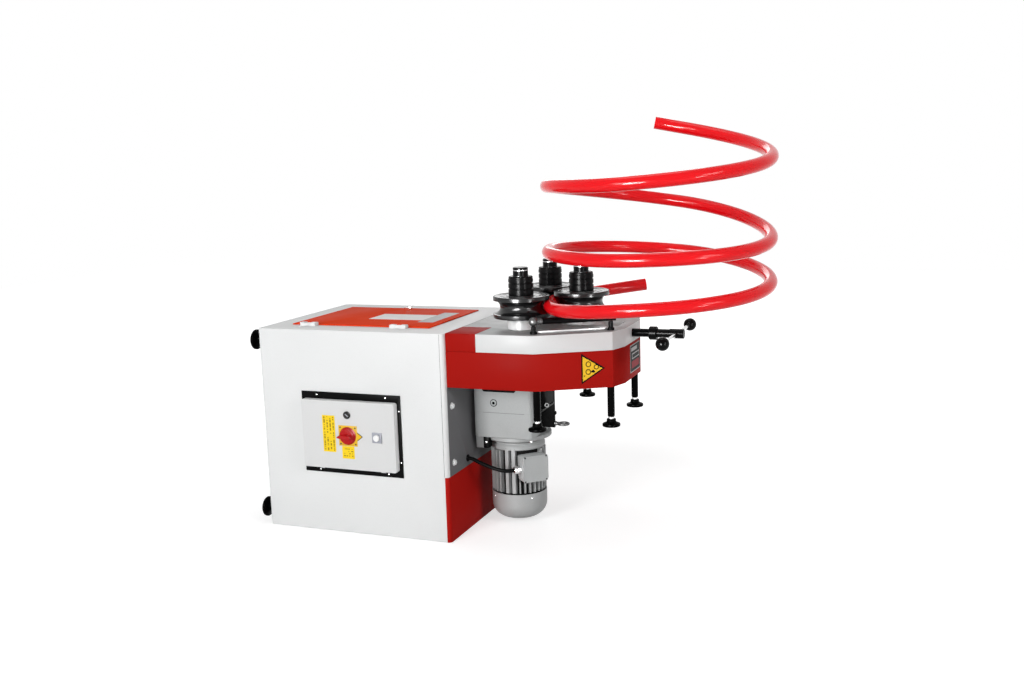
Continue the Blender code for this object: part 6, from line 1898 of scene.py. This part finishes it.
    def cowl(self) -> None:
        """The pressed fan cowl, with a rolled lip, screws and a guard over its inlet."""
        r, low, high = self.cowl_radius, self.cowl_low, self.cowl_high
        bend, wall = self.cowl_bend, self.cowl_wall
        outer = arc((r - bend, low + bend), bend, 0, -90, 14)
        inner = arc((r - bend, low + bend), bend - wall, -90, 0, 14)
        lip = [(self.inlet, low), (self.inlet - wall, low + wall / 2), (self.inlet, low + wall)]
        profile = [(r, high), (r, high - 0.0012), *outer, *lip, *inner, (r - wall, high), (r, high)]
        home = (self.axis_x, 0, 0)
        cowl = BENCH.lathe("cowl_shell", profile, home, steps=112, smooth=28)
        deliver(cowl, "machine", MOTOR_PAINT, ["fan_cowl"])
        bars = []
        wire = self.guard_wire
        for index, radius in enumerate(self.guard_rings):
            ring = arc((radius, low + 0.0012), wire, 0, 360, 8)
            bars.append(BENCH.lathe(f"guard_ring_{index}", ring, home, steps=48, smooth=60))
        for index in range(4):
            start = (self.guard_rings[0] - 0.001, -wire, low + 0.0005)
            end = (self.inlet - 0.0005, wire, low + 0.0019)
            spoke = BENCH.box(f"guard_spoke_{index}", start, end, 0.0003)
            BENCH.settle(spoke, home, (0, 0, QUARTER * index + 0.4))
            bars.append(spoke)
        deliver(BENCH.joined("inlet_guard", bars), "machine", MOTOR_PAINT)
        for index, azimuth in enumerate(self.cowl_screws):
            angle = math.radians(azimuth)
            place = (self.axis_x + r * math.cos(angle), r * math.sin(angle), self.cowl_screw_z)
            self.cowl_screw.screw(f"cowl_screw_{index}", place, (QUARTER, 0, angle + QUARTER))

    def box_point(self, out: float, left: float, up: float) -> Point:
        """A point given from the terminal box's own axes.

        Args:
            out: Distance from the motor's axis.
            left: Distance to the box's left.
            up: Height above the box's middle.

        Returns:
            The point.
        """
        c, s = math.cos(self.box_turn), math.sin(self.box_turn)
        return (self.axis_x + c * out + s * left, s * out - c * left, self.box_z + up)

    def terminal_box(self) -> None:
        """The box in two parts: a body and a domed lid with four corner screws, and the gland."""
        facing = (QUARTER, 0.0, self.box_turn + QUARTER)
        outline = rounded_outline(self.box_side, self.box_height, 0.010)
        deep, gasket_rise = self.box_depth * self.box_split, self.gasket_rise
        body = BENCH.plate("box_body", outline, deep, self.box_point(self.box_reach, 0, 0), facing, 0.0008)
        deliver(body, "machine", CASE_PAINT, ["terminal_box"])
        lid_low = self.box_reach + deep + gasket_rise
        lid = BENCH.plate("box_lid", outline, self.box_depth * (1 - self.box_split) - gasket_rise)
        with BENCH.editing(lid):
            BENCH.choose(lid, lambda face: face.normal.z > 0.9)
            bpy.ops.mesh.inset(thickness=0.0075)
            bpy.ops.transform.translate(value=(0, 0, -0.0011))
        BENCH.rounded(lid, 0.0018, 3)
        BENCH.settle(lid, self.box_point(lid_low, 0, 0), facing)
        BENCH.smooth(lid)
        outline = rounded_outline(self.box_side - 0.003, self.box_height - 0.003, 0.009)
        home = self.box_point(lid_low - gasket_rise, 0, 0)
        gasket = BENCH.plate("box_gasket", outline, gasket_rise, home, facing)
        deliver(lid, "machine", CASE_PAINT)
        deliver(gasket, "machine", RUBBER)
        top = self.box_reach + self.box_depth
        for index, (left, up) in enumerate(((-1, -1), (-1, 1), (1, -1), (1, 1))):
            place = self.box_point(top - 0.0012, left * 0.0335, up * 0.0355)
            self.lid_screw.screw(f"lid_screw_{index}", place, facing)
        self.gland()

    def gland(self) -> None:
        """The cable gland: a hexagon and a domed cap with a ring."""
        start = self.gland_point(0.0)
        facing = (QUARTER, 0.0, self.box_turn)
        radius, rise = self.gland_nut
        nut = BENCH.plate("gland_nut", polygon(radius, 6, 0.0), rise, start, facing, 0.0007)
        cap = BENCH.lathe("gland_cap", self.gland_cap, self.gland_point(rise), facing, 48, 30)
        deliver(nut, "machine", BRIGHT, ["cable_gland"])
        deliver(cap, "machine", BRIGHT)

    def gland_point(self, ahead: float) -> Point:
        """A point on the gland's axis.

        Args:
            ahead: Its distance from the gland's seat on the box.

        Returns:
            The point.
        """
        return self.box_point(self.box_reach + self.box_depth / 2, self.box_side / 2 + GAP + ahead, 0)

    def lead(self) -> None:
        """The rubber lead from the gland through the cabinet's side."""
        line = self.eased([*(self.gland_point(ahead) for ahead in self.lead_starts), *self.lead_route])
        lead = BENCH.sweep("motor_lead", line, self.lead_radius, 6)
        deliver(lead, "machine", RUBBER, ["motor_cable"])
        grommet = BENCH.lathe("lead_grommet", self.grommet, self.grommet_at, Facing.RIGHT.value, 40, 30)
        deliver(grommet, "machine", RUBBER)

    def eased(self, points: Sequence[Point], parts: int = 4) -> list[Point]:
        """More points on a smooth line through the given ones.

        Args:
            points: The line.
            parts: Steps between two points.

        Returns:
            The finer line.
        """
        spots = [Vector(point) for point in points]
        last = len(spots) - 1
        made = []
        for index in range(last):
            before, a = spots[max(index - 1, 0)], spots[index]
            b, after = spots[index + 1], spots[min(index + 2, last)]
            for step in range(parts):
                t = step / parts
                square = (2 * before - 5 * a + 4 * b - after) * t**2
                cube = (3 * a - before - 3 * b + after) * t**3
                made.append(0.5 * ((2 * a) + (b - before) * t + square + cube))
        return [tuple(point) for point in [*made, spots[-1]]]


@dataclass
class SideGuide:
    """The guide rod on its posts and the flat strip."""

    start: Pair = (0.5495, -0.220)
    end: Pair = (0.734, -0.113)
    level: float = 0.634
    overhang: float = 0.014
    rod_radius: float = 0.0085
    ball_radius: float = 0.0125
    neck_radius: float = 0.0072
    ring_radius: float = 0.0094
    ring_step: float = 0.0055
    knob_length: float = 0.014
    plate_top: float = 0.6003
    post_radius: float = 0.0065
    post_foot: float = 0.010
    post_tops: Pair = (0.6212, 0.6252)

    def build(self) -> None:
        """Builds the guide."""
        start, end = Vector(self.start), Vector(self.end)
        heading = math.atan2(end.y - start.y, end.x - start.x)
        place, turn = (start.x, start.y, self.level), (0, QUARTER, heading)
        steel = TurnedSteel(
            "guide_black", (0.003, 0.003, 0.0033), 0.16, 0.0, 0.06, centre=place, turn=turn, wear=0.2
        )
        bar = BENCH.lathe("guide_bar", self.bar_profile((end - start).length), place, turn, 56, 28)
        deliver(bar, "machine", steel, ["guide_rod"])
        knob = BENCH.lathe("guide_end", self.knob_profile(), place, turn, 56, 28)
        deliver(knob, "machine", EYE_STEEL)
        for name, spot, top in (("left", start, self.post_tops[0]), ("right", end, self.post_tops[1])):
            low, radius, foot = self.plate_top, self.post_radius, self.post_foot
            profile = [
                (0.0, top), (radius - 0.0007, top), (radius, top - 0.0008), (radius, low + 0.0075),
                (foot - 0.0008, low + 0.0066), (foot, low + 0.0058), (foot, low), (0.0, low),
            ]
            post = BENCH.lathe(f"guide_post_{name}_turned", profile, (spot.x, spot.y, 0), steps=40, smooth=30)
            deliver(post, "machine", steel, [f"guide_post_{name}"])
        dress("guide_strip", STEEL_ALONG, 0.0006)

    def neck(self) -> float:
        """Where the ball meets its neck.

        Returns:
            The distance from the ball's centre.
        """
        return math.sqrt(self.ball_radius**2 - self.neck_radius**2)

    def bar_profile(self, length: float) -> Outline:
        """Half of the rod.

        Args:
            length: The distance between the posts.

        Returns:
            The profile.
        """
        tip, radius, neck = length + self.overhang, self.rod_radius, self.neck() + self.knob_length
        points = [(0.0, neck + 0.0002), (radius, neck + 0.001), (radius, tip - 0.001)]
        return [*points, (radius - 0.001, tip), (0.0, tip)]

    def knob_profile(self) -> Outline:
        """Half of the rod's end: a ball, a neck and two rings.

        Returns:
            The profile.
        """
        radius, ring, neck = self.neck_radius, self.ring_radius, self.neck()
        opening = math.degrees(math.acos(radius / self.ball_radius))
        ball = arc((0, 0), self.ball_radius, -90, opening, 20)
        profile = [(0.0, -self.ball_radius), *ball[1:], (radius, neck + 0.002)]
        for index in range(2):
            low = neck + 0.002 + self.ring_step * index
            profile += [(ring, low + 0.0006), (ring, low + 0.0028), (radius, low + 0.0034)]
        return [*profile, (radius, neck + self.knob_length), (0.0, neck + self.knob_length)]


@dataclass
class Bracket:
    """The hanging bracket with its bolt, lever and ring."""

    face_y: float = -0.024
    bolt: Pair = (0.514, 0.360)
    bolt_head: Fastener = Fastener(0.0072, 0.0066, EYE_STEEL, shape=HeadShape.SOCKET)
    lever: tuple[Point, ...] = (
        (0.5362, -0.0268, 0.3682), (0.514, -0.0268, 0.3527), (0.4918, -0.0268, 0.3372),
    )
    lever_radius: float = 0.0036
    eye: Point = (0.5348, -0.020, 0.305)
    shank: Profile = (
        (0.0, 0.0), (0.0068, 0.0), (0.0068, 0.0032), (0.005, 0.0044),
        (0.005, 0.0118), (0.0036, 0.0132), (0.0, 0.0132),
    )
    ring_radius: float = 0.015
    ring_wire: float = 0.0035
    ring_out: float = 0.02525
    nut: Profile = (
        (0.0, 0.0), (0.0052, 0.0), (0.0058, 0.0006), (0.0058, 0.0034), (0.0046, 0.0042), (0.0, 0.0042),
    )
    nut_heights: Pair = (0.4085, 0.336)

    def build(self) -> None:
        """Builds the bracket."""
        dress("hanging_bracket", BLACK_COAT_AND_SHADE, 0.0007)
        place = (self.bolt[0], self.face_y, self.bolt[1])
        self.bolt_head.screw("bracket_bolt_head", place, Facing.FRONT.value)
        lever = BENCH.sweep("bracket_lever", self.lever, self.lever_radius, 6)
        deliver(lever, "machine", LEVER_STEEL)
        x, y, z = self.eye
        right = Facing.RIGHT.value
        shank = BENCH.lathe("eye_shank", self.shank, self.eye, right, 40, 30)
        deliver(shank, "machine", EYE_STEEL, ["bracket_eye"])
        section = arc((self.ring_radius, 0.0), self.ring_wire, 0, 360, 20)
        ring = BENCH.lathe("eye_loop", section, (x + self.ring_out, y, z), steps=72, smooth=60)
        deliver(ring, "machine", EYE_STEEL)
        for index, height in enumerate(self.nut_heights):
            nut = BENCH.lathe(f"bracket_nut_{index}", self.nut, (x - GAP, y, height), right, 6, 20)
            deliver(nut, "machine", FOOT_BLACK)


@dataclass
class Feet:
    """Levelling feet under the head and on the left side."""

    near: Pair = (0.556, 0.2275)
    far: Pair = (0.735, 0.125)
    head_foot: Profile = (
        (0.0, 0.47), (0.0092, 0.47), (0.010, 0.4692), (0.010, 0.3645), (0.009, 0.3622), (0.0066, 0.3618),
        (0.0066, 0.3562), (0.0112, 0.3560), (0.0128, 0.3545),
        (0.013, 0.3490), (0.0152, 0.3458), (0.0222, 0.3435),
        (0.0246, 0.3418), (0.025, 0.3395), (0.0246, 0.3360), (0.0235, 0.335), (0.0, 0.335),
    )
    neck: Profile = ((0.0066, 0.3562), (0.0078, 0.3566), (0.0078, 0.3612), (0.0066, 0.3616))
    side_x: float = -0.3
    base_y: float = 0.2225
    base_heights: Pair = (0.041, 0.559)
    base_foot: Profile = (
        (0.0, 0.035), (0.0285, 0.035), (0.030, 0.0335), (0.030, 0.0285), (0.0285, 0.0270), (0.0160, 0.0236),
        (0.0140, 0.0222), (0.0140, 0.0160), (0.0132, 0.0152),
        (0.0080, 0.0150), (0.0080, -0.0255), (0.0, -0.0255),
    )

    def build(self) -> None:
        """Builds all eight feet."""
        pattern = BENCH.lathe("foot_pattern", self.head_foot, steps=48, smooth=30)
        for name, (x, y) in (("near", self.near), ("far", self.far)):
            for side, sign in (("front", -1), ("back", 1)):
                label = f"{name}_{side}"
                place, body = (x, sign * y, 0), f"head_foot_{label}_body"
                foot = BENCH.copy(pattern, f"foot_{label}_turned", place)
                deliver(foot, body, FOOT_BLACK, [f"head_foot_{label}"])
                neck = BENCH.lathe(f"foot_{label}_neck", self.neck, place, steps=32, smooth=30)
                deliver(neck, body, BRIGHT)
        bpy.data.objects.remove(pattern)
        for side, y in (("front", -self.base_y), ("back", self.base_y)):
            for level, z in zip(("low", "high"), self.base_heights):
                name = f"base_foot_{side}_{level}"
                place = (self.side_x, y, z)
                foot = BENCH.lathe(f"{name}_turned", self.base_foot, place, Facing.LEFT.value, 64, 30)
                deliver(foot, f"{name}_body", FOOT_BLACK, [name])


@dataclass
class Workpiece:
    """The red tube, rolled to three rising turns."""

    centre_x: float = 0.83987
    radius: float = 0.302
    tube_radius: float = 0.018
    wall: float = 0.0025
    groove_z: float = 0.6626
    rise: float = 0.4975
    first_deg: int = 111
    lift_end_deg: int = 165
    lift: float = 0.016
    level_end_deg: int = 210
    mark_deg: int = 270
    mark_step: int = 90
    last_deg: int = 1185
    step_deg: int = 3
    shares: tuple[float, ...] = (
        0.038, 0.105, 0.237, 0.296, 0.292, 0.342, 0.529, 0.649, 0.676, 0.774, 0.965, 1.17,
    )

    def height(self, angle: float) -> float:
        """How high the centre line has risen at an angle.

        Args:
            angle: Degrees, counted up from the lower end.

        Returns:
            The rise above the grooves.
        """
        if angle <= self.level_end_deg:
            share = max(0.0, (self.lift_end_deg - angle) / (self.lift_end_deg - self.first_deg))
            return self.lift * share**2
        marks = [(self.level_end_deg, 0.0)]
        marks += [(self.mark_deg + self.mark_step * index, share) for index, share in enumerate(self.shares)]
        slopes = [0.0]
        slopes += [(c[1] - a[1]) / (c[0] - a[0]) for a, c in zip(marks, marks[2:])]
        slopes.append(slopes[-1])
        for index in range(len(marks) - 1):
            (a0, s0), (a1, s1) = marks[index], marks[index + 1]
            if angle <= a1:
                span = a1 - a0
                t = (angle - a0) / span
                share = (2 * t**3 - 3 * t**2 + 1) * s0 + (t**3 - 2 * t**2 + t) * span * slopes[index]
                share += (3 * t**2 - 2 * t**3) * s1 + (t**3 - t**2) * span * slopes[index + 1]
                return self.rise * share
        return self.rise * marks[-1][1]

    def build(self) -> None:
        """Builds the tube."""
        points = []
        for angle in range(self.first_deg, self.last_deg + 1, self.step_deg):
            turn = math.radians(angle)
            x = self.centre_x + self.radius * math.cos(turn)
            points.append((x, self.radius * math.sin(turn), self.groove_z + self.height(angle)))
        coat = TubeCoat("tube_red", (0.90, 0.005, 0.010), 0.13, specular=0.16, centre=(self.centre_x, 0, 0))
        tube = BENCH.sweep("coiled_tube", points, self.tube_radius, 10, self.wall)
        deliver(tube, "machine", coat, ["rolled_tube"])


def main() -> None:
    """Builds every sub-assembly in order."""
    logging.basicConfig(level=logging.INFO, format="%(message)s")
    Studio().build()
    fixed = ("roller", "roller_nut", "geared_shaft")
    stacks = [
        RollerStack(side, f"{side}_roller", (0.48, y), tuple(f"{node}_{side}" for node in fixed))
        for side, y in (("front", -0.124), ("back", 0.124))
    ]
    pressing = ("pressing_roller", "pressing_roller_nut", "pressing_shaft")
    stacks.append(RollerStack("pressing", "press_roller", (0.6165, 0.0), pressing))
    parts = [Gearmotor(), Cabinet(), AccessDoor(), ControlPanel(), Head(), Drive(), *stacks]
    parts += [Feed(), SideGuide(), Bracket(), Feet(), Workpiece()]
    for part in parts:
        part.build()
        LOG.info("%s is built", type(part).__name__)


if __name__ == "__main__":
    main()
